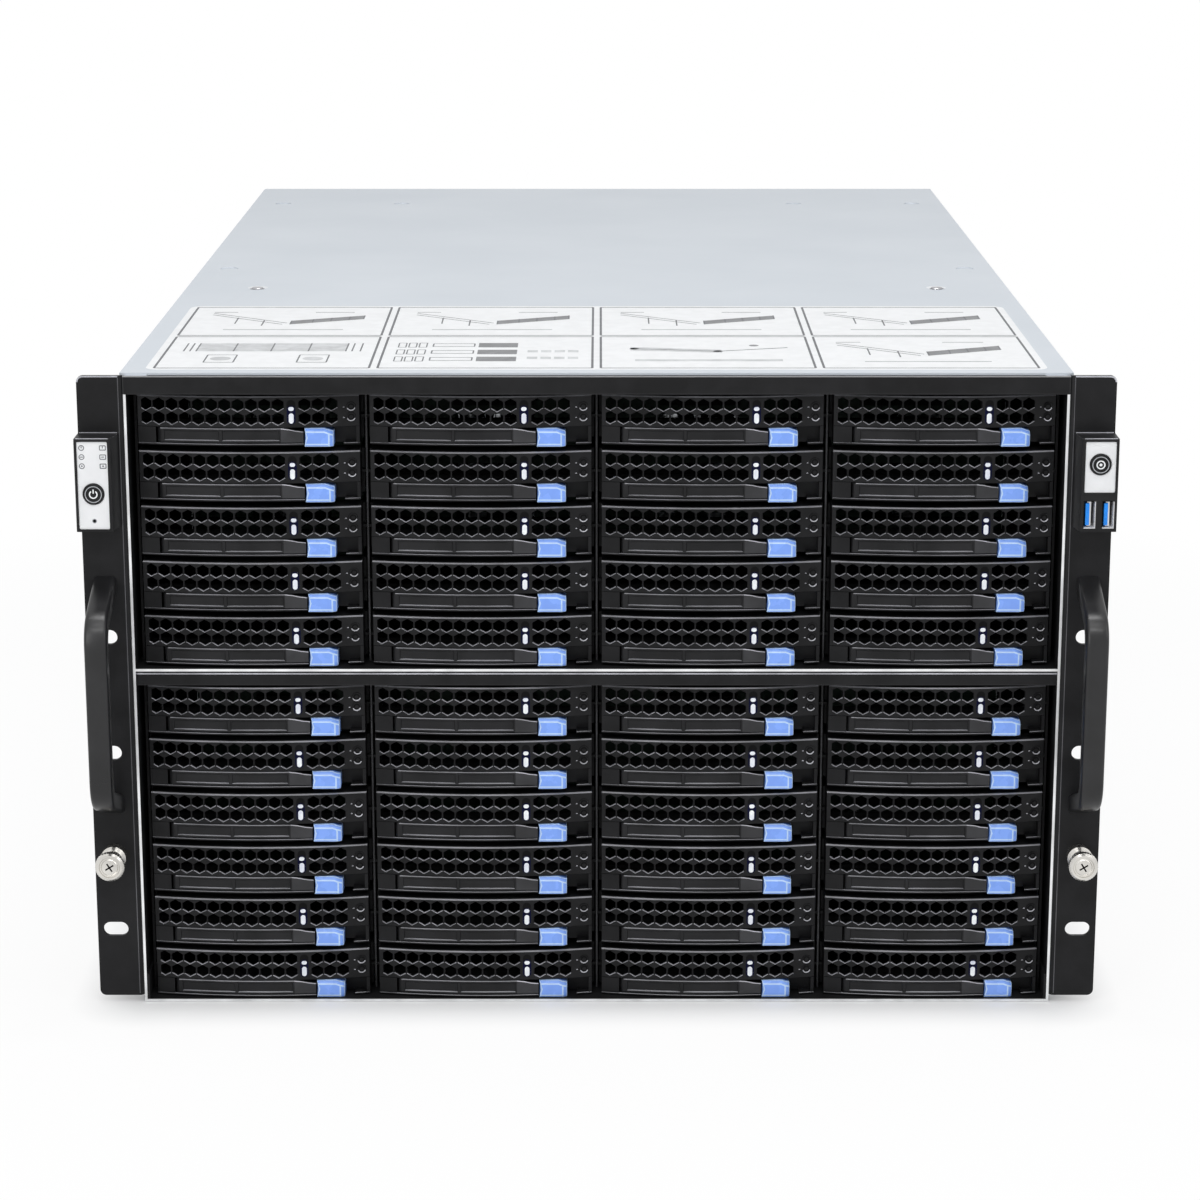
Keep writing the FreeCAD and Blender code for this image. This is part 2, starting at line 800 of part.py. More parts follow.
def make_bezel(name, full):
    body = new_body(name)
    shell = [
        ("-bezel_half", "bezel_end"),
        ("bezel_half", "bezel_end"),
        ("bezel_half", "bezel_back"),
        ("-bezel_half", "bezel_back"),
    ]
    extrude(body, "XY_Plane", "0", "bezel_height", shell, {0: ("bezel_radius", 1)})
    carve(body, "XY_Plane", "lever_lip", "lever_zone",
          rectangle("slot_left", "slot_right", "-bezel_setback", "slot_back"))
    carve(body, "XY_Plane", "-latch_drop", "lever_lip",
          rectangle("latch_left - lever_gap", "latch_right + latch_travel + lever_gap",
                    "-bezel_setback", "slot_back"))
    if not full:
        return body
    inner = "(bezel_half - bezel_wall)"
    hollow = [
        (f"-{inner}", front_y_at(inner, "bezel_wall")),
        (inner, front_y_at(inner, "bezel_wall")),
        (inner, "bezel_back + bezel_wall"),
        (f"-{inner}", "bezel_back + bezel_wall"),
    ]
    carve(body, "XY_Plane", "lever_zone + bezel_web", "bezel_height - bezel_web", hollow,
          {0: ("bezel_radius - bezel_wall", 1)})
    carve_holes(body, 0, PIPE_POSITION)
    carve_holes(body, PIPE_POSITION + 1, HOLE_COLUMNS - PIPE_POSITION - 1)
    for z_low, z_high in PIPE_WINDOWS:
        carve(body, "XZ_Plane", "0", "bezel_end + 2 * bezel_wall",
              rectangle("pipe_x - pipe_width / 2", "pipe_x + pipe_width / 2", z_low, z_high))
    extrude_circle(body, "XY_Plane", "lever_lip", "lever_zone", "pivot_x",
                   front_y_at("pivot_x") + " + boss_radius", "pin_radius")
    return body


# The two status windows of a tray: a tall one and a small one above it
PIPE_WINDOWS = (
    ("pipe_z - pipe_height / 2", "pipe_z + pipe_height / 2"),
    ("pipe_top_z - pipe_top_height / 2", "pipe_top_z + pipe_top_height / 2"),
)


def make_light_pipes(name, x, z):
    pieces = []
    for z_low, z_high in PIPE_WINDOWS:
        pipe = slab(name + "Pipe", f"{x} + pipe_x - pipe_width / 2", f"{x} + pipe_x + pipe_width / 2",
                    f"front_y + {front_y_at('pipe_x')}", "front_y + bezel_back",
                    f"{z} + {z_low}", f"{z} + {z_high}")
        pieces.append(pipe)
    return group(name, pieces)


# Tray lever: a bar that follows the bezel's arc and turns on a pin at its left end
def make_lever(name, full):
    body = new_body(name)
    left = "pivot_x" if full else "(pivot_x - boss_radius)"
    back = left if full else "lever_tip"
    bar = [
        (left, front_y_at(left)),
        ("lever_tip", front_y_at("lever_tip")),
        ("lever_tip", front_y_at("lever_tip") + " + lever_thickness"),
        (left, front_y_at(back) + " + lever_thickness"),
    ]
    arcs = {0: ("bezel_radius", 1), 2: ("bezel_radius", -1)} if full else {0: ("bezel_radius", 1)}
    extrude(body, "XY_Plane", "lever_low", "lever_high", bar, arcs)
    if not full:
        return body
    pivot = ("pivot_x", front_y_at("pivot_x") + " + boss_radius")
    extrude_circle(body, "XY_Plane", "lever_low", "lever_high", *pivot, "boss_radius")
    carve_circles(body, "XY_Plane", "lever_low - overcut", "lever_high + overcut", [pivot],
                  "pin_radius + pin_clearance")
    panel_ends = (
        ("pivot_x + boss_radius", "-bezel_half / 4 + lever_rim / 2"),
        ("-bezel_half / 4 + 2 * lever_rim", "lever_tip - lever_neck - lever_rim"),
    )
    for left, right in panel_ends:
        panel = [
            (left, "-bezel_setback"),
            (right, "-bezel_setback"),
            (right, front_y_at(right, "lever_recess")),
            (left, front_y_at(left, "lever_recess")),
        ]
        carve(body, "XY_Plane", "lever_low + lever_rim", "lever_high - lever_rim", panel,
              {2: ("bezel_radius - lever_recess", -1)})
    neck = [
        ("lever_tip - lever_neck", "lever_high"),
        ("lever_tip + overcut", "lever_high - lever_taper"),
        ("lever_tip + overcut", "lever_high + overcut"),
        ("lever_tip - lever_neck", "lever_high + overcut"),
    ]
    carve(body, "XZ_Plane", "-bezel_setback", "slot_back", neck)
    return body


# Tray latch: a thumb block that slides to the right to free the lever's tip
def make_latch(name):
    body = new_body(name)
    front = front_y_at("latch_left + latch_width / 2") + " - latch_proud"
    back = "slot_back - lever_gap"
    profile = [
        (f"{front} + latch_slope / 2", "-latch_drop"),
        (back, "-latch_drop"),
        (back, "lever_high"),
        (f"{front} + latch_slope", "lever_high"),
        (front, "lever_high - latch_slope"),
        (front, "lever_lip"),
    ]
    extrude(body, "YZ_Plane", "latch_left", "latch_right", profile)
    return body


# Tray frame: two grooved side runners tied by a front and a rear bar, open for the drive
def make_tray_frame(name):
    body = new_body(name)
    groove = "(rib_thickness / 2 + rib_clearance)"
    for side in (-1, 1):
        runner = [
            (f"{side} * rail_inner", "rail_margin"),
            (f"{side} * rail_outer", "rail_margin"),
            (f"{side} * rail_outer", f"rib_z - {groove}"),
            (f"{side} * (rail_outer - groove_depth)", f"rib_z - {groove}"),
            (f"{side} * (rail_outer - groove_depth)", f"rib_z + {groove}"),
            (f"{side} * rail_outer", f"rib_z + {groove}"),
            (f"{side} * rail_outer", "bezel_height - rail_margin"),
            (f"{side} * rail_inner", "bezel_height - rail_margin"),
        ]
        extrude(body, "XZ_Plane", "bezel_back", "tray_back", runner)
        if side == -1:
            for low in ("bezel_back", "tray_back - tray_bar"):
                extrude(body, "XZ_Plane", low, f"{low} + tray_bar",
                        rectangle("-rail_inner", "rail_inner", "rail_margin", "rail_margin + tray_bar"))
    return body


def make_live_tray(label, x, z):
    """A tray whose frame, bezel, pipes, lever and latch are separate pieces."""
    title = label.title().replace("_", "")
    for piece, body in (
        ("frame", make_tray_frame(title + "Frame")),
        ("bezel", make_bezel(title + "Bezel", True)),
        ("lever", make_lever(title + "Lever", True)),
        ("latch", make_latch(title + "Latch")),
    ):
        place(body, x, "front_y", z)
        node(body, f"{label}_{piece}")
    node(make_light_pipes(title + "Pipes", x, z), f"{label}_light_pipes")


def make_trays():
    """Two trays that move, and the others as groups of separate solids."""
    fixed = []
    for first_z, rows, live in (
        ("upper_z", UPPER_ROWS, UPPER_LIVE_TRAY),
        ("lower_z", LOWER_ROWS, LOWER_LIVE_TRAY),
    ):
        for row in range(rows):
            for column in range(COLUMNS):
                if (column, row) != live:
                    fixed.append((column_x(column), "front_y", f"{first_z} + {row} * row_pitch"))
        label = "upper_tray" if live == UPPER_LIVE_TRAY else "lower_tray"
        make_live_tray(label, column_x(live[0]), f"{first_z} + {live[1]} * row_pitch")
    for label, master in (
        ("tray_frames", make_tray_frame("PlainFrame")),
        ("tray_bezels", make_bezel("PlainBezel", False)),
        ("tray_levers", make_lever("PlainLever", False)),
        ("tray_latches", make_latch("PlainLatch")),
    ):
        node(copies(label.title().replace("_", ""), master, fixed), label)


# Rack ears: a slotted front flange, bent round to a leg along the side panel
def make_ear(label, side):
    body = new_body("Ear")
    flange = [
        (f"{side} * body_half", "ear_bottom"),
        (f"{side} * (rack_half - ear_corner)", "ear_bottom"),
        (f"{side} * rack_half", "ear_bottom + ear_corner"),
        (f"{side} * rack_half", "ear_top - ear_corner"),
        (f"{side} * (rack_half - ear_corner)", "ear_top"),
        (f"{side} * body_half", "ear_top"),
    ]
    extrude(body, "XZ_Plane", "ear_y", "front_y", flange,
            {1: ("ear_corner", side), 3: ("ear_corner", side)})
    leg = rectangle(f"{side} * body_half", f"{side} * (body_half + ear_thickness)",
                    "ear_bottom", "ear_leg_top")
    extrude(body, "XZ_Plane", "front_y", "front_y + ear_leg", leg)
    bend = [
        (f"{side} * body_half", "ear_y"),
        (f"{side} * (body_half + ear_bend)", "ear_y"),
        (f"{side} * body_half", "ear_y + ear_bend"),
    ]
    carve(body, "XY_Plane", "ear_bottom - overcut", "ear_top + overcut", bend, {1: ("ear_bend", -side)})
    through = ("ear_y - overcut", "front_y + overcut")
    x = f"{side} * slot_x"
    for z in ("low_slot_z", "mid_slot_z", "high_slot_z"):
        half = "(slot_length - slot_width) / 2"
        carve(body, "XZ_Plane", *through,
              rectangle(f"{x} - {half}", f"{x} + {half}", f"{z} - slot_width / 2", f"{z} + slot_width / 2"))
        for end in ("-", "+"):
            carve_circles(body, "XZ_Plane", *through, [(f"{x} {end} {half}", z)],
                          "slot_width / 2")
    carve_circles(body, "XZ_Plane", *through, [(f"{side} * thumb_x", "thumb_z")],
                  "thumb_shank + 5 * running_clearance")
    screws = [(f"{side} * handle_x", f"handle_z {end} handle_base_half") for end in ("-", "+")]
    carve_circles(body, "XZ_Plane", *through, screws,
                  "handle_screw_radius + screw_clearance")
    carve_circles(body, "XZ_Plane", "front_y - head_depth", through[1], screws,
                  "handle_screw_head + screw_clearance")
    node(body, label)


# Bow handles: a bar with cut corners swept along sloping legs and a straight grip
def make_handle(label, side):
    body = new_body("Handle")
    over = "handle_thickness"
    slope = f"{over} * handle_drop / handle_run"
    bend_y = "handle_tangent * handle_run / handle_leg - handle_run"
    bend_z = "(handle_grip_half + handle_tangent * handle_drop / handle_leg)"
    line = [
        (over, f"handle_base_half + {slope}"),
        (bend_y, bend_z),
        ("-handle_run", "handle_grip_half - handle_tangent"),
        ("-handle_run", "handle_tangent - handle_grip_half"),
        (bend_y, f"-{bend_z}"),
        (over, f"-handle_base_half - {slope}"),
    ]
    path = outline(body, "YZ_Plane", "0", line, {1: ("handle_bend", 1), 3: ("handle_bend", 1)}, False)
    middle = f"(handle_base_half + {slope})"
    section = chamfered("-handle_width / 2", "handle_width / 2",
                        f"{middle} - handle_thickness / 2", f"{middle} + handle_thickness / 2",
                        "handle_edge")
    profile = outline(body, "XZ_Plane", over, section)
    sweep = body.newObject("PartDesign::AdditivePipe", "HandleSweep")
    sweep.Profile = profile
    sweep.Spine = (path, [f"Edge{number}" for number in range(1, len(line))])
    carve(body, "XZ_Plane", "0", "3 * handle_thickness",
          rectangle("-handle_width", "handle_width", "-handle_span", "handle_span"))
    screws = [("0", f"{end}handle_base_half") for end in ("-", "")]
    carve_circles(body, "XZ_Plane", "-handle_screw_length + head_depth", "overcut", screws,
                  "handle_screw_radius + screw_clearance")
    place(body, f"{side} * handle_x", "ear_y", "handle_z")
    node(body, label)


def make_handle_screws():
    screw = turned("HandleScrew", "XY_Plane", [
        ("0", "0"),
        ("handle_screw_head", "0"),
        ("handle_screw_head", "-head_depth"),
        ("handle_screw_radius", "-head_depth"),
        ("handle_screw_radius", "-handle_screw_length"),
        ("0", "-handle_screw_length"),
    ])
    spots = [(f"{side} * handle_x", "front_y", f"handle_z {end} handle_base_half")
             for side in (-1, 1) for end in ("-", "+")]
    node(copies("HandleScrews", screw, spots), "handle_screws")


# Captive thumbscrews: a spool-shaped knob on a shank that turns in a collar
def make_thumbscrew(label, side):
    head = "collar_length + running_clearance"
    body = turned("Thumbscrew", "XY_Plane", [
        ("0", "ear_thickness + thumb_reach"),
        ("thumb_thread", "ear_thickness + thumb_reach"),
        ("thumb_thread", "ear_thickness + thumb_shoulder"),
        ("thumb_shank", "ear_thickness + thumb_shoulder"),
        ("thumb_shank", f"-({head})"),
        ("thumb_flange", f"-({head})"),
        ("thumb_flange", f"-({head}) - thumb_length / 7"),
        ("thumb_waist", f"-({head}) - thumb_length / 4"),
        ("thumb_waist", f"-({head}) - thumb_length * 5 / 8"),
        ("thumb_head", f"-({head}) - thumb_length * 3 / 4"),
        ("thumb_head", f"-({head}) - thumb_length + wall"),
        ("thumb_head - wall", f"-({head}) - thumb_length"),
        ("0", f"-({head}) - thumb_length"),
    ])
    place(body, f"{side} * thumb_x", "ear_y", "thumb_z")
    node(body, label)


def make_collars():
    inner = "thumb_shank + running_clearance"
    collar = turned("Collar", "XY_Plane", [
        (inner, "0"),
        ("collar_radius", "0"),
        ("collar_radius", "-collar_length + wall / 2"),
        ("collar_radius - wall / 2", "-collar_length"),
        (inner, "-collar_length"),
    ])
    spots = [(f"{side} * thumb_x", "ear_y", "thumb_z") for side in (-1, 1)]
    node(copies("Collars", collar, spots), "thumbscrew_collars")


# Control panels: a housing on each ear, with a face plate set into its front
def make_panel(name, side, plate_low, button_z):
    """Housing, plate and button of one panel."""
    housing = new_body(name + "Housing")
    plan = [
        (f"{side} * rack_half", "ear_y"),
        (f"{side} * rack_half", "panel_y"),
        (f"{side} * (rack_half - panel_front)", "panel_y"),
        (f"{side} * (rack_half - panel_base)", "ear_y"),
    ]
    extrude(housing, "XY_Plane", "panel_z", "panel_top", plan)
    outer = f"{side} * (rack_half - plate_margin)"
    inner = f"{side} * (rack_half - panel_front + plate_margin)"
    field = rectangle(outer, inner, plate_low, "panel_top - plate_margin")
    carve(housing, "XZ_Plane", "panel_y - overcut", "panel_y + plate_thickness", field)
    centre = (f"{side} * panel_mid", button_z)
    bore = "button_radius + running_clearance"
    carve_circles(housing, "XZ_Plane", "panel_y - overcut", "panel_y + button_length + 2 * button_travel",
                  [centre], bore)

    plate = new_body(name + "Plate")
    extrude(plate, "XZ_Plane", "panel_y", "panel_y + plate_thickness", field)
    carve_circles(plate, "XZ_Plane", "panel_y - overcut", "panel_y + overcut", [centre], bore)

    button = turned(name + "Button", "XY_Plane", [
        ("0", "button_length - button_proud"),
        ("button_radius", "button_length - button_proud"),
        ("button_radius", "-button_proud / 2"),
        ("button_radius - button_proud / 2", "-button_proud"),
        ("0", "-button_proud"),
    ])
    place(button, centre[0], "panel_y", centre[1])
    return housing, plate, button


def make_panels():
    housing, plate, button = make_panel("Left", -1, "panel_z + plate_margin", "button_z")
    node(housing, "left_panel_housing")
    node(plate, "left_panel_plate")
    node(button, "power_button")

    housing, plate, button = make_panel("Right", 1, "plate_z", "locate_z")
    ports = []
    for side in (-1, 1):
        x = f"panel_mid + {side} * usb_pitch / 2"
        sides = (f"{x} - usb_width / 2", f"{x} + usb_width / 2")
        ends = ("usb_z - usb_height / 2", "usb_z + usb_height / 2")
        carve(housing, "XZ_Plane", "panel_y - overcut", "panel_y + usb_depth", rectangle(*sides, *ends))
        block = slab("UsbBlock", *sides, "panel_y", "panel_y + usb_depth", *ends)
        room = slab("UsbRoom", f"{sides[0]} + usb_wall", f"{sides[1]} - usb_wall",
                    "panel_y - overcut", "panel_y + usb_depth - usb_wall",
                    f"{ends[0]} + usb_wall", f"{ends[1]} - usb_wall")
        ports.append(cut("UsbShell", block, room))
        ports.append(slab("UsbTongue", f"{x} - tongue_thickness / 2", f"{x} + tongue_thickness / 2",
                          "panel_y + tongue_back", "panel_y + usb_depth - usb_wall",
                          f"{ends[0]} + tongue_margin", f"{ends[1]} - tongue_margin"))
    node(housing, "right_panel_housing")
    node(plate, "right_panel_plate")
    node(button, "locate_button")
    node(group("UsbPorts", ports), "usb_ports")


# Fans: three cross rails hold two rows of square fans. Bores and hubs have straight facets.
def make_fans():
    rails = []
    depth = ("fan_y - fan_rail_wall", "fan_y + fan_depth + fan_rail_wall")
    for low, high, half in (
        ("wall", "fan_low_z", "(inner_half - wall)"),
        ("fan_low_z + fan_size", "fan_high_z", "inner_half"),
        ("fan_high_z + fan_size", "flange_z", "inner_half"),
    ):
        rail = new_body("FanRail")
        extrude(rail, "YZ_Plane", f"-{half}", half, rectangle(*depth, low, high))
        carve(rail, "YZ_Plane", f"-{half}", half,
              rectangle(f"{depth[0]} + fan_rail_wall", f"{depth[1]} - fan_rail_wall",
                        f"{low} + fan_rail_wall", f"{high} - fan_rail_wall"))
        if high == "flange_z":
            holes = [(f"{side} * cover_screw_x", "cover_screw_y") for side in (-1, 1)]
            carve_circles(rail, "XY_Plane", f"{high} - 2 * fan_rail_wall", f"{high} + overcut", holes,
                          "cover_screw_radius + 3 * screw_clearance")
        rails.append(rail)
    node(group("FanRails", rails), "fan_rails")

    frame = new_body("FanFrame")
    half = "fan_size / 2"
    extrude(frame, "XZ_Plane", "0", "fan_depth", rectangle(f"-{half}", half, f"-{half}", half))
    carve(frame, "XZ_Plane", "-overcut", "fan_depth + overcut", polygon("fan_bore", FAN_BORE_SIDES))
    base = "fan_depth - fan_base"
    strut = "fan_strut / 2"
    span = (f"-{half} + overcut", f"{half} - overcut")
    across = (f"-{strut}", strut)
    extrude(frame, "XZ_Plane", base, "fan_depth", rectangle(*span, *across))
    extrude(frame, "XZ_Plane", base, "fan_depth", rectangle(*across, *span))
    extrude(frame, "XZ_Plane", base, "fan_depth", polygon("fan_hub", FAN_HUB_SIDES))
    carve_circles(frame, "XZ_Plane", f"{base} - overcut", "fan_depth + overcut", [("0", "0")],
                  "fan_shaft + running_clearance")
    spots = []
    for low in ("fan_low_z", "fan_high_z"):
        for column in range(FAN_COLUMNS):
            spots.append((f"({column} - {(FAN_COLUMNS - 1) / 2}) * fan_pitch", "fan_y", f"{low} + {half}"))
    node(copies("FanFrames", frame, spots), "fan_frames")

    rotor = make_rotor()
    for number, spot in enumerate(spots, 1):
        node(one_copy("FanRotor", rotor, *spot), f"fan_rotor_{number}")


def make_rotor():
    """Hub, shaft and slanted blades about the Y axis."""
    rotor = new_body("FanRotor")
    extrude(rotor, "XZ_Plane", "fan_end_gap", "fan_hub_back", polygon("fan_hub", FAN_HUB_SIDES))
    extrude_circle(rotor, "XZ_Plane", "fan_hub_back", "fan_depth", "0", "0", "fan_shaft")
    run = "blade_chord / 2"
    rise = "blade_rise / 2"
    middle = "(fan_end_gap + fan_hub_back) / 2"
    blade = [
        (f"-{run}", f"{middle} - {rise} - blade_thickness / 2"),
        (run, f"{middle} + {rise} - blade_thickness / 2"),
        (run, f"{middle} + {rise} + blade_thickness / 2"),
        (f"-{run}", f"{middle} - {rise} + blade_thickness / 2"),
    ]
    tip = f"sqrt((fan_bore - fan_tip_gap) ^ 2 - ({run}) ^ 2)"
    vane = extrude(rotor, "XY_Plane", "fan_hub - blade_root", tip, blade)
    ring = rotor.newObject("PartDesign::PolarPattern", "FanBlades")
    ring.Originals = [vane]
    ring.Axis = ([part for part in rotor.Origin.OriginFeatures if part.Role == "Y_Axis"][0], [""])
    ring.Angle = 360
    ring.Occurrences = FAN_BLADES
    rotor.Tip = ring
    return rotor


# Power supplies: two slide-in modules in a cage, each with a handle, an inlet and a latch
def make_power_supply(number, z):
    body = new_body("PowerSupply")
    extrude(body, "XZ_Plane", "psu_front_y", "rear_y",
            rectangle("psu_left", "psu_right", z, f"{z} + psu_height"))
    inlet = ("psu_right - inlet_inset - inlet_width", f"{z} + inlet_lift")
    carve(body, "XZ_Plane", "rear_y - inlet_depth", "rear_y + overcut",
          rectangle(inlet[0], f"{inlet[0]} + inlet_width", inlet[1], f"{inlet[1]} + inlet_height"))
    pocket_x = "(psu_left + inlet_inset)"
    pocket_z = f"{z} + (psu_height - latch_pocket_height) / 2"
    carve(body, "XZ_Plane", "rear_y - latch_pocket_depth", "rear_y + overcut",
          rectangle(pocket_x, f"{pocket_x} + latch_pocket_width",
                    pocket_z, f"{pocket_z} + latch_pocket_height"))
    left = "(psu_right - psu_handle_inset - psu_handle_width)"
    right = "(psu_right - psu_handle_inset)"
    grip = [
        (left, "rear_y"),
        (f"{left} + psu_handle_bar", "rear_y"),
        (f"{left} + psu_handle_bar", "rear_y + psu_handle_reach - psu_handle_bar"),
        (f"{right} - psu_handle_bar", "rear_y + psu_handle_reach - psu_handle_bar"),
        (f"{right} - psu_handle_bar", "rear_y"),
        (right, "rear_y"),
        (right, "rear_y + psu_handle_reach"),
        (left, "rear_y + psu_handle_reach"),
    ]
    grip_z = f"{z} + (psu_height - psu_handle_height) / 2"
    extrude(body, "XY_Plane", grip_z, f"{grip_z} + psu_handle_height", grip)
    node(body, f"power_supply_{number}")

    latch = slab("SupplyLatch", f"{pocket_x} + latch_pocket_width - psu_latch_gap - psu_latch_width",
                 f"{pocket_x} + latch_pocket_width - psu_latch_gap",
                 "rear_y - latch_pocket_depth + psu_latch_gap", "rear_y + psu_latch_proud",
                 f"{pocket_z} + psu_latch_gap", f"{pocket_z} + latch_pocket_height - psu_latch_gap")
    node(latch, f"power_supply_latch_{number}")


def make_power_supplies():
    body = new_body("SupplyCage")
    inner_left = "psu_left - psu_gap"
    inner_right = "psu_right + psu_gap"
    profile = [
        (f"{inner_left} - wall", "wall"),
        (inner_left, "wall"),
        (inner_left, "psu_shelf_z"),
        (inner_right, "psu_shelf_z"),
        (inner_right, "wall"),
        (f"{inner_right} + wall", "wall"),
        (f"{inner_right} + wall", "psu_roof_z + wall"),
        (f"{inner_left} - wall", "psu_roof_z + wall"),
    ]
    extrude(body, "XZ_Plane", "psu_front_y", "inside_y", profile)
    carve(body, "XZ_Plane", "psu_front_y - overcut", "inside_y + overcut",
          rectangle(inner_left, inner_right, "psu_shelf_z + wall", "psu_roof_z"))
    node(body, "power_supply_cage")
    make_power_supply(1, "psu_low_z")
    make_power_supply(2, "psu_high_z")


# Rear panel: window for the board's connectors, expansion slots, supply bay and vent
def make_rear_panel():
    body = new_body("RearPanel")
    through = ("inside_y - overcut", "rear_y + overcut")
    extrude(body, "XZ_Plane", "inside_y", "rear_y", rectangle("-inner_half", "inner_half", "wall", "cover_z"))
    carve(body, "XZ_Plane", *through, rectangle("io_left", "io_right", "io_z", "io_z + io_height"))
    carve(body, "XZ_Plane", *through,
          rectangle("psu_left - psu_gap", "psu_right + psu_gap", "0", "psu_roof_z"))
    carve(body, "XZ_Plane", *through, rectangle("-vent_half", "vent_half", "vent_z", "vent_top"))
    last = f"(expansion_x - {EXPANSION_SLOTS - 1} * expansion_pitch)"
    slot = carve(body, "XZ_Plane", *through,
                 rectangle(f"{last} - expansion_width / 2", f"{last} + expansion_width / 2",
                           "expansion_z", "expansion_z + expansion_height"))
    pattern(body, slot, ("H_Axis", EXPANSION_SLOTS, "expansion_pitch"))
    node(body, "rear_panel")

    vent = new_body("VentPanel")
    extrude(vent, "XZ_Plane", "inside_y - wall", "inside_y",
            rectangle("-vent_half - vent_overlap", "vent_half + vent_overlap",
                      "vent_z - vent_overlap", "vent_top + vent_overlap"))
    x = f"(-{(VENT_COLUMNS - 1) / 2} * vent_slot_pitch)"
    z = f"((vent_z + vent_top - {VENT_ROWS - 1} * vent_row_pitch) / 2)"
    hole = carve(vent, "XZ_Plane", "inside_y - wall - overcut", "inside_y + overcut",
                 rectangle(f"{x} - vent_slot_width / 2", f"{x} + vent_slot_width / 2",
                           f"{z} - vent_slot_height / 2", f"{z} + vent_slot_height / 2"))
    pattern(vent, hole, ("H_Axis", VENT_COLUMNS, "vent_slot_pitch"),
            ("V_Axis", VENT_ROWS, "vent_row_pitch"))
    node(vent, "rear_vent_panel")


def make_slot_covers():
    """Blank brackets behind the expansion slots, each with a tab bent inwards at its top."""
    bracket = new_body("SlotCover")
    low = "expansion_z - cover_plate_margin"
    high = "expansion_z + expansion_height + cover_plate_margin"
    profile = [
        ("0", low),
        ("0", high),
        ("-cover_plate_tab", high),
        ("-cover_plate_tab", f"{high} - cover_plate_thickness"),
        ("-cover_plate_thickness", f"{high} - cover_plate_thickness"),
        ("-cover_plate_thickness", low),
    ]
    extrude(bracket, "YZ_Plane", "-cover_plate_width / 2", "cover_plate_width / 2", profile)
    spots = [(f"expansion_x - {number} * expansion_pitch", "inside_y", "0")
             for number in range(EXPANSION_SLOTS)]
    node(copies("SlotCovers", bracket, spots), "slot_covers")


def make_standoffs():
    """Hexagon posts on the floor for a full-size board."""
    post = doc.addObject("Part::Prism", "StandoffPost")
    post.Polygon = 6
    bind(post, "Circumradius", "standoff_radius")
    bind(post, "Height", "standoff_height")
    bore = doc.addObject("Part::Cylinder", "StandoffBore")
    bind(bore, "Radius", "standoff_bore")
    bind(bore, "Height", "standoff_height")
    standoff = cut("Standoff", post, bore)
    spots = []
    for x in BOARD_HOLES_X:
        for y in BOARD_HOLES_Y:
            spots.append((x, y, "wall"))
    node(copies("Standoffs", standoff, spots), "board_standoffs")


def check_and_write():
    """Stop at any failed object, then write each piece to its own file."""
    doc.recompute()
    for thing in doc.Objects:
        if "Invalid" in thing.State or "Error" in thing.State:
            raise RuntimeError(f"{thing.Label} failed: {thing.State}")
    for thing in NODES:
        if thing.Shape.isNull() or not thing.Shape.isValid() or not thing.Shape.Solids:
            raise RuntimeError(f"{thing.Label} has no valid solid")
    os.makedirs("parts", exist_ok=True)
    for thing in NODES:
        thing.Shape.exportStep(f"parts/{thing.Label}.step")


make_base_pan()
make_side_panel("side_panel_left", -1)
make_side_panel("side_panel_right", 1)
make_top_cover()
make_beams()
make_cages()
make_backplane("backplane_lower", "wall", "shelf_z", "lower_z", LOWER_ROWS)
make_backplane("backplane_upper", "shelf_top", "flange_z - wall", "upper_z", UPPER_ROWS)
make_trays()
make_ear("ear_left", -1)
make_ear("ear_right", 1)
make_handle("handle_left", -1)
make_handle("handle_right", 1)
make_handle_screws()
make_thumbscrew("thumbscrew_left", -1)
make_thumbscrew("thumbscrew_right", 1)
make_collars()
make_panels()
make_fans()
make_power_supplies()
make_rear_panel()
make_slot_covers()
make_standoffs()
check_and_write()
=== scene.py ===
import json
import math

import bmesh
import bpy
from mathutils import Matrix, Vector


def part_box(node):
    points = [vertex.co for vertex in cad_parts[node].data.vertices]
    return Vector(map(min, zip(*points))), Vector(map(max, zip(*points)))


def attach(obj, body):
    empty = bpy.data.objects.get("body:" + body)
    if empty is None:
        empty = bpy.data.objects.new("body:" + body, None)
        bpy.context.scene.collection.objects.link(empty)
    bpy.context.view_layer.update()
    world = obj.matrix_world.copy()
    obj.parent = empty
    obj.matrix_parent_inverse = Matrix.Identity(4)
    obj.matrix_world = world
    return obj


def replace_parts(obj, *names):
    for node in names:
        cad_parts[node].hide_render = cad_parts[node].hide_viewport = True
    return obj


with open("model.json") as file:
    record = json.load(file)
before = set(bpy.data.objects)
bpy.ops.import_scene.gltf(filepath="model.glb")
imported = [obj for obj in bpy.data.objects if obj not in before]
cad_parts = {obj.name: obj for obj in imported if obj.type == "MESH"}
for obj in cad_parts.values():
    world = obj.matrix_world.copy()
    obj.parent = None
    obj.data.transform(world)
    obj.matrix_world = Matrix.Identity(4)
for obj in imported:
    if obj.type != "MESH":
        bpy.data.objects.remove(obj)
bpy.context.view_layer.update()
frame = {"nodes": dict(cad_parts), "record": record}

# Rackmount server chassis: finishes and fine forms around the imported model.
# Lengths are millimetres in the part's frame until a piece is made, which turns them into metres.
MM = 0.001
SHEET = 1.2


def box(node):
    """Lowest and highest corner of a node."""
    low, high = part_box(node)
    return low / MM, high / MM


def middle_of(low, high):
    """Middle of a box as seen from the front, in x and z."""
    return (low.x + high.x) / 2, (low.z + high.z) / 2


# Tray grid: columns, rows of each block, and the column and row of the tray that moves in it
COLUMNS = 4
ROWS = {"upper": 5, "lower": 6}
LIVE = {"upper": (1, 2), "lower": (2, 3)}

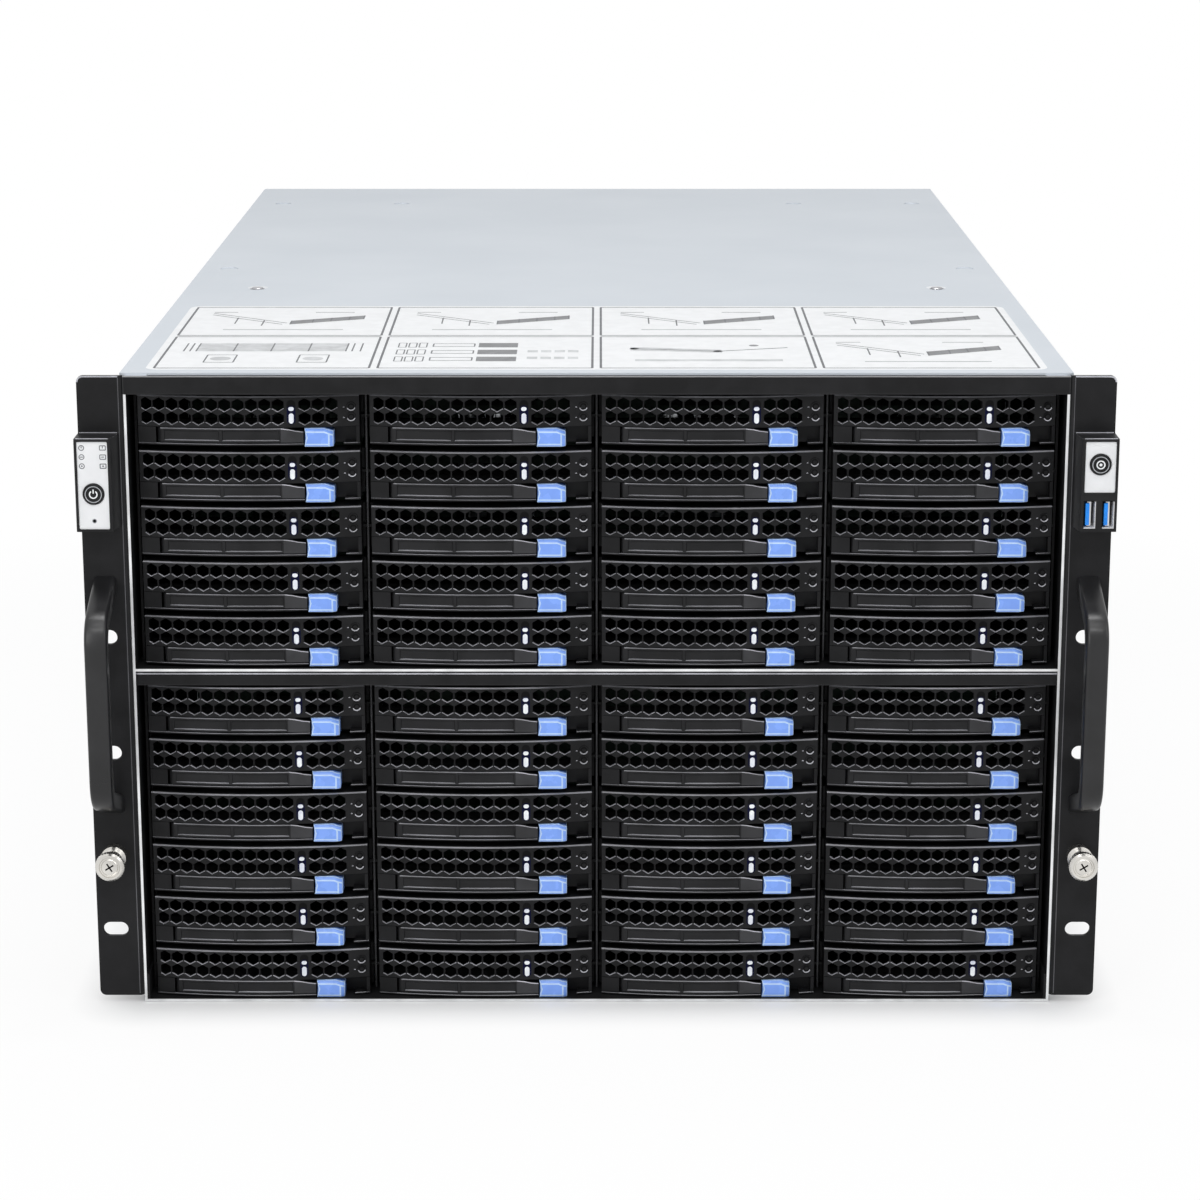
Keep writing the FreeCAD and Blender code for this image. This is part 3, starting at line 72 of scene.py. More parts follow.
# Tray front, measured from the column's middle, the bezel's foremost line and its underside
bezel_low, bezel_high = box("upper_tray_bezel")
BEZEL_HALF = (bezel_high.x - bezel_low.x) / 2
BEZEL_HEIGHT = bezel_high.z - bezel_low.z
BEZEL_DEPTH = bezel_high.y - bezel_low.y
BEZEL_BULGE = 5.0
BEZEL_WALL = 1.8
BEZEL_WEB = 1.0
ARC_RADIUS = (BEZEL_HALF ** 2 + BEZEL_BULGE ** 2) / (2 * BEZEL_BULGE)
ARC_STEP = 3.0
LEVER_ZONE = 8.6
LIP = 1.0
HOLE_COLUMNS = 15
PIPE_POSITION = 11
HOLE_PITCH = 6.2
HOLE_WIDTH = 5.2
HOLE_RIM = 0.55
HOLE_ROW = (BEZEL_HEIGHT - LEVER_ZONE - 2 * BEZEL_WEB) / 2
FIRST_HOLE_X = 3.9 - BEZEL_HALF
GRILLE_ROWS = [LEVER_ZONE + BEZEL_WEB + HOLE_ROW * share for share in (0.5, 1.5)]
lever_low, lever_high = box("upper_tray_lever")
latch_low, latch_high = box("upper_tray_latch")
TRAY_X = middle_of(bezel_low, bezel_high)[0]
LEVER_TIP = lever_high.x - TRAY_X
LEVER_FLOOR = lever_low.z - bezel_low.z
LEVER_TOP = lever_high.z - bezel_low.z
LEVER_THICKNESS = 5.2
PIVOT_X = lever_low.x - TRAY_X + LEVER_THICKNESS / 2
LATCH_LEFT = latch_low.x - TRAY_X
LATCH_RIGHT = latch_high.x - TRAY_X
LATCH_TRAVEL = 4.5
GAP = 0.3
SLOT_LEFT = PIVOT_X - LEVER_THICKNESS / 2 - 2 * GAP
SLOT_RIGHT = BEZEL_HALF - 1.5
SLOT_BACK = BEZEL_BULGE + LEVER_THICKNESS + 2 * GAP


def tray_spots():
    """Where each fixed tray sits, and the two that move."""
    low, high = box("tray_bezels")
    column_pitch = (high.x - low.x - 2 * BEZEL_HALF) / (COLUMNS - 1)
    live_row = LIVE["upper"][1]
    row_pitch = (high.z - bezel_high.z) / (ROWS["upper"] - 1 - live_row)
    first_z = {"upper": bezel_low.z - live_row * row_pitch, "lower": low.z}
    fixed = []
    moving = {}
    for block, rows in ROWS.items():
        for row in range(rows):
            for column in range(COLUMNS):
                x = (column - (COLUMNS - 1) / 2) * column_pitch
                spot = Vector((x, low.y, first_z[block] + row * row_pitch))
                if (column, row) == LIVE[block]:
                    moving[f"{block}_tray"] = spot
                else:
                    fixed.append(spot)
    return fixed, moving


FIXED_SPOTS, LIVE_SPOTS = tray_spots()


# Finishes
def shader_of(finish):
    return finish.node_tree.nodes["Principled BSDF"]


def new_finish(name, colour, roughness, metallic=0.0, specular=0.5):
    finish = bpy.data.materials.new(name)
    finish.use_nodes = True
    sockets = ("Base Color", "Roughness", "Metallic", "Specular IOR Level")
    for socket, value in zip(sockets, ((*colour, 1), roughness, metallic, specular)):
        shader_of(finish).inputs[socket].default_value = value
    return finish


def add_node(tree, kind, inputs, **settings):
    """A shader node whose inputs are values or the outputs that they are linked to."""
    node = tree.nodes.new("ShaderNode" + kind)
    for name, setting in settings.items():
        setattr(node, name, setting)
    for name, source in inputs.items():
        if isinstance(source, bpy.types.NodeSocket):
            tree.links.new(source, node.inputs[name])
        else:
            node.inputs[name].default_value = source
    return node


def feed(finish, name, output):
    """Link an output to an input of the finish's shader."""
    finish.node_tree.links.new(output, shader_of(finish).inputs[name])


def pattern(finish, kind, scale, detail=2.0, stretch=(1, 1, 1), output="Fac"):
    """A texture in the part's own coordinates; its features measure about a metre over the scale."""
    tree = finish.node_tree
    coordinates = add_node(tree, "TexCoord", {})
    mapping = add_node(tree, "Mapping", {"Vector": coordinates.outputs["Object"], "Scale": stretch})
    inputs = {"Vector": mapping.outputs["Vector"], "Scale": scale, "Detail": detail}
    return add_node(tree, "Tex" + kind, inputs).outputs[output]


def vary_colour(finish, source, first, second, low=0.35, high=0.65):
    ramp = add_node(finish.node_tree, "ValToRGB", {"Fac": source})
    start, end = ramp.color_ramp.elements
    start.position, end.position = low, high
    start.color, end.color = (*first, 1), (*second, 1)
    feed(finish, "Base Color", ramp.outputs["Color"])


def add_bump(finish, source, distance, strength):
    inputs = {"Height": source, "Distance": distance, "Strength": strength}
    feed(finish, "Normal", add_node(finish.node_tree, "Bump", inputs).outputs["Normal"])


def uneven_finish(name, base, clouds, shades, gloss, grain, bump):
    """A finish whose colour and gloss follow one texture, and whose bumps follow another."""
    finish = new_finish(name, *base)
    source = pattern(finish, *clouds)
    vary_colour(finish, source, *shades)
    low, high = gloss
    spread = add_node(finish.node_tree, "MapRange", {"Value": source, "To Min": low, "To Max": high})
    feed(finish, "Roughness", spread.outputs["Result"])
    add_bump(finish, pattern(finish, *grain), *bump)
    return finish


def galvanised_finish():
    """Zinc-coated sheet: spangles of differing brightness and fine rolling lines."""
    spangle = ("Voronoi", 260, 0.0, (1, 1, 1), "Color")
    shades = ((0.57, 0.59, 0.61), (0.66, 0.68, 0.7), 0.1, 0.9)
    lines = ("Noise", 400, 2.0, (1, 0.05, 1))
    base = ((0.62, 0.64, 0.66), 0.4, 0.85)
    return uneven_finish("galvanized", base, spangle, shades, (0.38, 0.48), lines, (0.00002, 0.4))


def cover_finish():
    """Pale coated sheet with a soft mottle."""
    mottle, grain = ("Noise", 12, 6.0), ("Noise", 900)
    shades = ((0.57, 0.615, 0.665), (0.63, 0.67, 0.715), 0.3, 0.7)
    base = ((0.6, 0.64, 0.69), 0.42, 0.15, 0.4)
    return uneven_finish("cover_paint", base, mottle, shades, (0.36, 0.5), grain, (0.00002, 0.35))


def black_finish(name, level, roughness, grain, depth, specular):
    """Black plastic or paint: a fine grain, cloudy gloss and slightly uneven colour."""
    base = ((level, level, level * 1.08), roughness, 0.0, specular)
    shades = ((level * 0.8, level * 0.8, level * 0.86), (level * 1.35, level * 1.35, level * 1.458))
    gloss = (roughness - 0.06, roughness + 0.08)
    return uneven_finish(name, base, ("Noise", 60, 4.0), shades, gloss, ("Noise", grain, 3.0), (depth, 0.5))


def metal_finish(name, colour, roughness, lines=900):
    """Machined metal with fine turned lines."""
    marks = ("Noise", lines, 2.0, (0.1, 1, 0.1))
    shades = (tuple(part * 0.8 for part in colour), colour)
    gloss = (roughness - 0.06, roughness + 0.1)
    return uneven_finish(name, (colour, roughness, 1.0), marks, shades, gloss, marks, (0.00003, 0.4))


def plastic_finish(name, colour, roughness, specular=0.5, change=0.12):
    """Coloured plastic or print with a slight cloudiness and fine grain."""
    base = (colour, roughness, 0.0, specular)
    shades = [tuple(min(part * share, 1) for part in colour) for share in (1 - change, 1 + change)]
    gloss = (roughness - 0.05, roughness + 0.07)
    return uneven_finish(name, base, ("Noise", 150, 3.0), shades, gloss, ("Noise", 3000), (0.00001, 0.3))


def up_face_highlight_finish():
    """Black paint with a painted highlight: pale where it faces up, as if lit from above."""
    finish = new_finish("up_face_highlight", (0.02, 0.02, 0.021), 0.35, 0.0, 0.3)
    geometry = add_node(finish.node_tree, "NewGeometry", {})
    parts = add_node(finish.node_tree, "SeparateXYZ", {"Vector": geometry.outputs["Normal"]})
    vary_colour(finish, parts.outputs["Z"], (0.018, 0.018, 0.019), (0.36, 0.36, 0.37), 0.2, 0.6)
    add_bump(finish, pattern(finish, "Noise", 1800), 0.00002, 0.4)
    return finish


def board_finish():
    """Solder mask over copper tracks."""
    finish = new_finish("board_green", (0.005, 0.022, 0.012), 0.4, specular=0.3)
    tracks = pattern(finish, "Voronoi", 220, 0.0, (1, 1, 0.4), "Distance")
    vary_colour(finish, tracks, (0.004, 0.02, 0.01), (0.01, 0.045, 0.022), 0.3, 0.36)
    add_bump(finish, tracks, 0.00003, 0.4)
    return finish


# Level, roughness, scale and depth of the grain, and shine
BLACKS = {
    "black_paint": (0.011, 0.46, 1600, 0.00006, 0.16),
    "handle_black": (0.012, 0.3, 2200, 0.00002, 0.42),
    "bezel_plastic": (0.01, 0.38, 2600, 0.00004, 0.14),
    "lever_plastic": (0.014, 0.32, 2200, 0.00002, 0.17),
    # A paler lever plastic: a painted highlight on the neck's front
    "rubbed_plastic": (0.034, 0.32, 2200, 0.00002, 0.24),
    "frame_plastic": (0.01, 0.55, 1800, 0.00005, 0.15),
    "housing_plastic": (0.011, 0.42, 2400, 0.00004, 0.2),
    "button_plastic": (0.009, 0.3, 3000, 0.00002, 0.2),
    "fan_plastic": (0.016, 0.5, 1800, 0.00005, 0.35),
    "rotor_plastic": (0.024, 0.4, 1800, 0.00004, 0.4),
    # The rest stand in for light: painted shade for holes, then painted edge highlights from faint to
    # strong
    "hole_black": (0.004, 0.7, 1500, 0.00002, 0.1),
    "worn_edge": (0.09, 0.4, 2600, 0.00002, 0.3),
    "tray_edge": (0.2, 0.3, 2600, 0.00002, 0.4),
    "rim_edge": (0.36, 0.3, 2600, 0.00002, 0.4),
    "polished_edge": (0.46, 0.3, 2600, 0.00002, 0.4),
}
# Colour, roughness and, where it isn't the usual one, the scale of the lines
METALS = {
    "nickel": ((0.74, 0.72, 0.68), 0.22),
    "screw_steel": ((0.42, 0.42, 0.44), 0.35),
    "usb_shell": ((0.7, 0.7, 0.72), 0.25),
    "supply_metal": ((0.66, 0.67, 0.68), 0.34, 300),
    "brass": ((0.75, 0.55, 0.24), 0.28),
    "gold": ((0.85, 0.62, 0.25), 0.25),
    "raw_edge": ((0.94, 0.95, 0.96), 0.3),
}
# Colour, roughness and, where they aren't the usual ones, the shine and the change of shade
PLASTICS = {
    "latch_blue": ((0.22, 0.4, 0.99), 0.26, 0.5, 0.05),
    # A paler blue for the latch's rounded edges: a painted highlight
    "latch_edge": ((0.52, 0.7, 1.0), 0.26, 0.5, 0.05),
    "light_pipe": ((0.86, 0.89, 1.0), 0.25),
    "window_navy": ((0.004, 0.005, 0.026), 0.4, 0.05),
    "panel_plate": ((0.86, 0.865, 0.875), 0.38, 0.5, 0.02),
    "supply_latch": ((0.01, 0.24, 0.09), 0.4),
    "label_white": ((0.86, 0.87, 0.88), 0.45, 0.5, 0.03),
    "ink": ((0.16, 0.165, 0.175), 0.6, 0.3),
    "pale_ink": ((0.42, 0.43, 0.45), 0.6, 0.3),
    "mid_print": ((0.24, 0.245, 0.25), 0.6, 0.3),
    "pale_print": ((0.6, 0.61, 0.62), 0.6, 0.3),
    # A pale screw seat and bright socket walls: painted highlights
    "seat_pale": ((0.8, 0.82, 0.85), 0.4),
    "shell_glint": ((0.78, 0.78, 0.79), 0.3),
    "usb_blue": ((0.005, 0.27, 0.95), 0.35),
}
FINISHES = {
    "galvanized": galvanised_finish(),
    "cover_paint": cover_finish(),
    "up_face_highlight": up_face_highlight_finish(),
    "board_green": board_finish(),
}
for make, table in ((black_finish, BLACKS), (metal_finish, METALS), (plastic_finish, PLASTICS)):
    for finish_name, values in table.items():
        FINISHES[finish_name] = make(finish_name, *values)


# Mesh building: faces that meet at more than this angle show a sharp edge
SHARP_ANGLE = math.radians(35)


def skin(bm, loops, edges=(), edge_finish=1):
    """Join closed rings of points in turn; the bands named as edges take a finish of their own."""
    rings = [[bm.verts.new(point) for point in loop] for loop in loops]
    for band, (ring, following) in enumerate(zip(rings, rings[1:])):
        for index in range(len(ring)):
            after = (index + 1) % len(ring)
            face = bm.faces.new((ring[index], ring[after], following[after], following[index]))
            face.material_index = edge_finish if band in edges else 0
    return rings


def capped(bm, loops, edges=(), edge_finish=1):
    rings = skin(bm, loops, edges, edge_finish)
    bm.faces.new(rings[0])
    bm.faces.new(rings[-1])
    return rings


def rectangle(low_u, high_u, low_v, high_v):
    return [(low_u, low_v), (high_u, low_v), (high_u, high_v), (low_u, high_v)]


def circle(u, v, radius, count=24, start=0.0):
    turns = [start + 2 * math.pi * index / count for index in range(count)]
    return [(u + radius * math.cos(turn), v + radius * math.sin(turn)) for turn in turns]


def rounded(low_u, high_u, low_v, high_v, radius, count=4):
    """A rectangle with round corners."""
    right, left, top, bottom = high_u - radius, low_u + radius, high_v - radius, low_v + radius
    points = []
    for quarter, (u, v) in enumerate(((right, top), (left, top), (left, bottom), (right, bottom))):
        for step in range(count + 1):
            turn = math.pi / 2 * (quarter + step / count)
            points.append((u + radius * math.cos(turn), v + radius * math.sin(turn)))
    return points


def stroke(start, end, width):
    """A straight line of some width."""
    across = Vector((start[1] - end[1], end[0] - start[0])).normalized() * width / 2
    first, last = Vector(start), Vector(end)
    return [tuple(first + across), tuple(first - across), tuple(last - across), tuple(last + across)]


def on_front(y):
    """Heights rise to the front from a plane at y."""
    return lambda u, v, height: (u, y - height, v)


def on_rear(y):
    return lambda u, v, height: (u, y + height, v)


def on_top(z):
    return lambda u, v, height: (u, v, z + height)


def on_side(x, side):
    return lambda u, v, height: (x + side * height, u, v)


def lift(place, steps):
    """Loops of points from outlines at heights over a surface."""
    return [[place(u, v, height) for u, v in outline] for outline, height in steps]


def stack(bm, place, steps, edges=()):
    """A closed form through outlines at several heights."""
    capped(bm, lift(place, steps), edges)


def raise_outline(bm, outline, place, low, high):
    stack(bm, place, ((outline, low), (outline, high)))


def lathe(bm, centre, profile, count, grooves):
    """Turn (radius, y) points about an axis along Y; grooves gives a knurl's depth at some of them."""
    loops = []
    for index, (radius, y) in enumerate(profile):
        ring = circle(*centre, radius, count)
        ring[1::2] = circle(*centre, radius - grooves.get(index, 0), count)[1::2]
        loops.append([(x, y, z) for x, z in ring])
    capped(bm, loops)


def face_outward(bm):
    bmesh.ops.recalc_face_normals(bm, faces=bm.faces)


def repeat(bm, spots):
    """The same mesh at several places."""
    master = bpy.data.meshes.new("master")
    bm.to_mesh(master)
    whole = bmesh.new()
    for spot in spots:
        start = len(whole.verts)
        whole.from_mesh(master)
        whole.verts.ensure_lookup_table()
        bmesh.ops.translate(whole, vec=spot, verts=whole.verts[start:])
    bpy.data.meshes.remove(master)
    return whole


def add_object(name, data):
    thing = bpy.data.objects.new(name, data)
    bpy.context.scene.collection.objects.link(thing)
    return thing


def piece(name, bm, finish, body="chassis", more_finishes=()):
    """Turn a mesh into an object that rides on a body, with its finish and any more finishes."""
    face_outward(bm)
    bmesh.ops.scale(bm, vec=(MM, MM, MM), verts=bm.verts)
    mesh = bpy.data.meshes.new(name)
    bm.to_mesh(mesh)
    bm.free()
    mesh.shade_smooth()
    mesh.set_sharp_from_angle(angle=SHARP_ANGLE)
    for finish_name in (finish, *more_finishes):
        mesh.materials.append(FINISHES[finish_name])
    thing = add_object(name, mesh)
    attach(thing, body)
    return thing


def soften(bm, width, angle=40.0, finish_index=0):
    """Round the sharp edges of a mesh, and say which finish the new faces take."""
    face_outward(bm)
    limit = math.radians(angle)
    edges = [edge for edge in bm.edges if edge.is_manifold and edge.calc_face_angle() > limit]
    rounds = bmesh.ops.bevel(bm, geom=edges, offset=width, segments=2, profile=0.5, affect="EDGES",
                             clamp_overlap=True)
    for face in rounds["faces"]:
        face.material_index = finish_index


def solids(name, finish, shapes, body="chassis", rounding=0):
    """A piece of raised outlines, each given with its surface, low and high."""
    bm = bmesh.new()
    for shape in shapes:
        raise_outline(bm, *shape)
    if rounding:
        soften(bm, rounding)
    piece(name, bm, finish, body)


def paint_since(bm, before, finish_index):
    """Give a finish to the faces made after the first so many."""
    bm.faces.ensure_lookup_table()
    for face in bm.faces[before:]:
        face.material_index = finish_index


# Tray bezel, whose finishes are the plastic, a painted highlight on the hole rims, painted shade in the
# pits and a painted highlight on the long edges
RIM_HIGHLIGHT, PIT_SHADE, LONG_EDGE_HIGHLIGHT = 1, 2, 3
BEZEL_EDGE = 0.6
# Status rings at its right end. Dish, button and cone are steps of radius and height.
RING_X = BEZEL_HALF - 3.7
RING_HEIGHTS = (13.2, 18.1)
RING_DISH = ((2.3, -0.1), (2.05, 0.5), (1.35, 0.05))
RING_BUTTON = ((1.0, 0), (0.9, 0.42))
PIT_RADIUS, PIT_RISE = 1.6, 0.22
CONE = ((0.55, -0.1), (0.15, 0.35))
CONE_LEFT, CONE_DOWN = 3.4, 0.4


def arc_y(x):
    """How far the bezel's front lies behind its foremost line."""
    return ARC_RADIUS - math.sqrt(ARC_RADIUS ** 2 - x ** 2)


def on_bezel(u, v, height):
    return (u, arc_y(u) - height, v)


def arc_run(start, end):
    """Points along the bezel's front, each marked as a front point."""
    count = max(1, round(abs(end - start) / ARC_STEP))
    stations = [start + (end - start) * index / count for index in range(count + 1)]
    return [(x, arc_y(x), 1) for x in stations]


def layers(bm, outline, levels):
    """Stack an outline at (height, setback) levels; front points move back by the setback, and the bands
    that slope take the long edges' painted highlight.
    """
    edges = [band for band in range(len(levels) - 1) if levels[band][1] != levels[band + 1][1]]
    loops = [[(x, y + setback * front, z) for x, y, front in outline] for z, setback in levels]
    capped(bm, loops, edges, LONG_EDGE_HIGHLIGHT)


def hexagon(x, z, width):
    radius = width / math.sqrt(3)
    turns = [math.radians(90 - 60 * corner) for corner in range(6)]
    return [(x + radius * math.cos(turn), z + radius * math.sin(turn)) for turn in turns]


def add_grille(bm):
    """A curved plate with two rows of hexagon holes, whose rims are chamfered and take a painted highlight.
    """
    half_width = HOLE_PITCH / 2
    half_height = HOLE_ROW / 2
    plain = []
    for position in range(HOLE_COLUMNS):
        x = FIRST_HOLE_X + position * HOLE_PITCH
        if position == PIPE_POSITION:
            plain.append((x - half_width, x + half_width))
            continue
        for z in GRILLE_ROWS:
            top, bottom, left, right = z + half_height, z - half_height, x - half_width, x + half_width
            cell = [(x, top), (right, top), (right, bottom), (x, bottom), (left, bottom), (left, top)]
            steps = (
                (cell, 0),
                (hexagon(x, z, HOLE_WIDTH + HOLE_RIM), 0),
                (hexagon(x, z, HOLE_WIDTH), -HOLE_RIM),
                (hexagon(x, z, HOLE_WIDTH), -BEZEL_WALL),
                (cell, -BEZEL_WALL),
            )
            skin(bm, lift(on_bezel, steps), edges=[1])
    grille_end = FIRST_HOLE_X + (HOLE_COLUMNS - 0.5) * HOLE_PITCH
    edges = [grille_end + (BEZEL_HALF - grille_end) * share / 3 for share in range(4)]
    plain += list(zip(edges, edges[1:]))
    plain.append((-BEZEL_HALF, FIRST_HOLE_X - half_width))
    for left, right in plain:
        for z in GRILLE_ROWS:
            for depth in (0, BEZEL_WALL):
                field = rectangle(left, right, z - half_height, z + half_height)
                bm.faces.new([bm.verts.new(on_bezel(u, v, -depth)) for u, v in field])
    bmesh.ops.remove_doubles(bm, verts=bm.verts, dist=0.001)
    bmesh.ops.bridge_loops(bm, edges=[edge for edge in bm.edges if edge.is_boundary])


def keep_upward_highlights(bm):
    """Leave the painted edge highlight only on the edges that face up, where the light falls."""
    face_outward(bm)
    for face in bm.faces:
        if face.material_index in (RIM_HIGHLIGHT, LONG_EDGE_HIGHLIGHT) and face.normal.z < 0.2:
            face.material_index = 0


def add_status_ring(bm, z):
    """A dished ring round a pit painted black as shade, with a small six-sided button, and a cone beside
    it; the dish's inner slope and the cone's side take the painted rim highlight.
    """
    stack(bm, on_bezel, [(circle(RING_X, z, radius, 18), height) for radius, height in RING_DISH], [1])
    before = len(bm.faces)
    raise_outline(bm, circle(RING_X, z, PIT_RADIUS, 18), on_bezel, 0, PIT_RISE)
    paint_since(bm, before, PIT_SHADE)
    stack(bm, on_bezel, [(circle(RING_X, z, radius, 6, math.pi / 6), height)
                         for radius, height in RING_BUTTON])
    stack(bm, on_bezel, [(circle(RING_X - CONE_LEFT, z - CONE_DOWN, radius, 10), height)
                         for radius, height in CONE], [0])


def bezel_mesh():
    bm = bmesh.new()
    add_grille(bm)
    back = [(BEZEL_HALF, BEZEL_DEPTH, 0), (-BEZEL_HALF, BEZEL_DEPTH, 0)]
    full = arc_run(-BEZEL_HALF, BEZEL_HALF) + back
    grille_floor = LEVER_ZONE + BEZEL_WEB
    grille_top = BEZEL_HEIGHT - BEZEL_WEB
    layers(bm, full, [(grille_top, 0), (BEZEL_HEIGHT - BEZEL_EDGE, 0), (BEZEL_HEIGHT, BEZEL_EDGE)])
    layers(bm, full, [(LEVER_ZONE, BEZEL_EDGE / 2), (LEVER_ZONE + BEZEL_EDGE / 2, 0), (grille_floor, 0)])
    for side in (-1, 1):
        inner = side * (BEZEL_HALF - BEZEL_WALL)
        outer = side * BEZEL_HALF
        wall = arc_run(outer, inner) + [(inner, BEZEL_DEPTH, 0), (outer, BEZEL_DEPTH, 0)]
        layers(bm, wall, [(grille_floor, 0), (grille_top, 0)])
    # Lever slot with a block at its left end and a thin post at its right
    slot = arc_run(-BEZEL_HALF, SLOT_LEFT)
    slot += [(SLOT_LEFT, SLOT_BACK, 0), (SLOT_RIGHT, SLOT_BACK, 0)]
    slot += arc_run(SLOT_RIGHT, BEZEL_HALF) + back
    layers(bm, slot, [(LIP, 0), (LEVER_ZONE, 0)])
    # Lip under the lever, open below the latch
    notch_right = LATCH_RIGHT + LATCH_TRAVEL + GAP
    lip = arc_run(-BEZEL_HALF, LATCH_LEFT - GAP)
    lip += [(LATCH_LEFT - GAP, SLOT_BACK, 0), (notch_right, SLOT_BACK, 0)]
    lip += arc_run(notch_right, BEZEL_HALF) + back
    layers(bm, lip, [(0, LIP * 0.3), (LIP * 0.3, 0), (LIP * 0.75, 0), (LIP, LIP * 0.25)])
    for z in RING_HEIGHTS:
        add_status_ring(bm, z)
    keep_upward_highlights(bm)
    return bm


# Status windows: a small round one above a tall one with round ends, in a navy surround under a black patch
# of painted shade for a dark hole.
# Grounds are low end, high end, height and finish; windows are low end, high end and half width.
WINDOW_X = FIRST_HOLE_X + PIPE_POSITION * HOLE_PITCH
GROUND_HALF = 2.0
GROUNDS = ((16.6, 21.8, 0.04, 2), (10.2, 19.2, 0.06, 1))
WINDOWS = ((10.6, 15.5, 1.15), (16.6, 18.5, 1.3))


def window_mesh():
    bm = bmesh.new()
    x = WINDOW_X
    for low, high, height, finish_index in GROUNDS:
        before = len(bm.faces)
        ground = rounded(x - GROUND_HALF, x + GROUND_HALF, low, high, GROUND_HALF - 0.01, 6)
        raise_outline(bm, ground, on_bezel, -0.5, height)
        paint_since(bm, before, finish_index)
    back = arc_y(x) - BEZEL_DEPTH
    for low, high, half in WINDOWS:
        middle = (low + high) / 2
        outline = rounded(x - half, x + half, low, high, min(half, (high - low) / 2) - 0.01, 5)
        crown = [(x + (u - x) * 0.8, middle + (v - middle) * 0.9) for u, v in outline]
        stack(bm, on_bezel, ((outline, back), (outline, 0.15), (crown, 0.35)))
    return bm


# Tray lever: an arched bar with two sunk panels and a neck that thins to the latch; the neck's front
# carries a painted highlight
LEVER_PANELS = ((PIVOT_X + 0.6, -13.4), (-12.2, 14.8))
NECK_START = 15.4
NECK_DROP = 1.7
# Steps from the lever's plastic and edge finishes to the paler painted highlights of its neck
NECK_HIGHLIGHT_STEP = 2


def neck_share(x):
    """How far along the neck a place on the lever lies, with a soft start and end."""
    share = min(max((x - NECK_START) / (LEVER_TIP - NECK_START), 0), 1)
    return share * share * (3 - 2 * share)


def lever_mesh():
    bm = bmesh.new()
    breaks = [PIVOT_X] + [x for panel in LEVER_PANELS for x in panel] + [NECK_START, LEVER_TIP]
    front = []
    for start, end in zip(breaks, breaks[1:]):
        front += arc_run(start, end)[:-1]
    front.append((LEVER_TIP, arc_y(LEVER_TIP), 1))
    back = [(x, y + LEVER_THICKNESS, 0) for x, y, _ in reversed(front)]
    boss_y = arc_y(PIVOT_X) + LEVER_THICKNESS / 2
    boss = [(x, y, 0) for x, y in circle(PIVOT_X, boss_y, LEVER_THICKNESS / 2, 16, math.pi / 2)[1:8]]
    outline = front + back + boss
    edge, rim = 0.4, 1.0
    line, slope, sink = 0.12, 0.45, 0.5
    levels = [(LEVER_FLOOR, edge), (LEVER_FLOOR + edge, 0), (LEVER_FLOOR + rim, 0),
              (LEVER_TOP - rim, 0), (LEVER_TOP - edge, 0), (LEVER_TOP, edge)]
    loops = []
    for z, setback in levels:
        share = (z - LEVER_FLOOR) / (LEVER_TOP - LEVER_FLOOR)
        loops.append([(x, y + setback * front_point, z - NECK_DROP * share * neck_share(x))
                      for x, y, front_point in outline])
    rings = capped(bm, loops, edges=[0, 4])
    for left, right in LEVER_PANELS:
        inside = set()
        for index in range(len(front) - 1):
            if left - 0.01 <= front[index][0] and front[index + 1][0] <= right + 0.01:
                for ring in rings[2:4]:
                    inside.update({ring[index], ring[index + 1]})
        faces = [face for face in bm.faces if all(corner in inside for corner in face.verts)]
        face_outward(bm)
        bmesh.ops.inset_region(bm, faces=faces, thickness=line, depth=0)
        # The sunk panels' sloping sides take the painted edge highlight
        for face in bmesh.ops.inset_region(bm, faces=faces, thickness=slope, depth=-sink)["faces"]:
            face.material_index = 1
    keep_upward_highlights(bm)
    # Front faces along the neck take the paler finishes of a painted highlight
    for face in bm.faces:
        if face.normal.y < -0.2 and face.calc_center_median().x > NECK_START:
            face.material_index += NECK_HIGHLIGHT_STEP
    return bm


# Tray latch: a blue thumb block with a sloping top, a hollowed left end and a lowered right corner
def latch_mesh():
    bm = bmesh.new()
    front = latch_low.y - bezel_low.y
    back = latch_high.y - bezel_low.y
    floor = latch_low.z - bezel_low.z
    roof = latch_high.z - bezel_low.z
    middle = (floor + roof) / 2
    profile = [(front + 0.6, floor), (back, floor), (back, roof), (front + 1.6, roof), (front, roof - 1.7),
               (front, middle), (front, floor + 1.2)]
    hollow, slope, drop, fall = 1.4, 4.2, 1.6, 1.2
    loops = []
    for x in (LATCH_LEFT, LATCH_LEFT + 2.0, LATCH_RIGHT - slope, LATCH_RIGHT - slope / 2, LATCH_RIGHT):
        share = max(0, (x - LATCH_RIGHT + slope) / slope)
        loop = []
        for y, z in profile:
            lean = hollow * (1 - abs(z - middle) / (roof - middle)) if x == LATCH_LEFT else 0
            set_back = fall if x == LATCH_RIGHT and y < front + 2 else 0
            lower = drop * share if z > middle else 0
            loop.append((x + lean, y + set_back, z - lower))
        loops.append(loop)
    capped(bm, loops)
    # Its rounded edges take the paler blue: a painted highlight
    soften(bm, 0.4, 25.0, finish_index=1)
    return bm


def dress_trays(kind, plural, build, finish, *more_finishes):
    """Put a detailed mesh in every tray: one piece for the fixed trays and one in each that moves."""
    master = build()
    face_outward(master)
    places = [(plural, "chassis", FIXED_SPOTS)]
    for tray, spot in LIVE_SPOTS.items():
        node = f"{tray}_{kind}"
        places.append((node, node if kind in ("lever", "latch") else tray, [spot]))
    for node, body, spots in places:
        fine = piece(f"{node}_fine", repeat(master, spots), finish, body, more_finishes)
        if node in frame["nodes"]:
            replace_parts(fine, node)
    master.free()


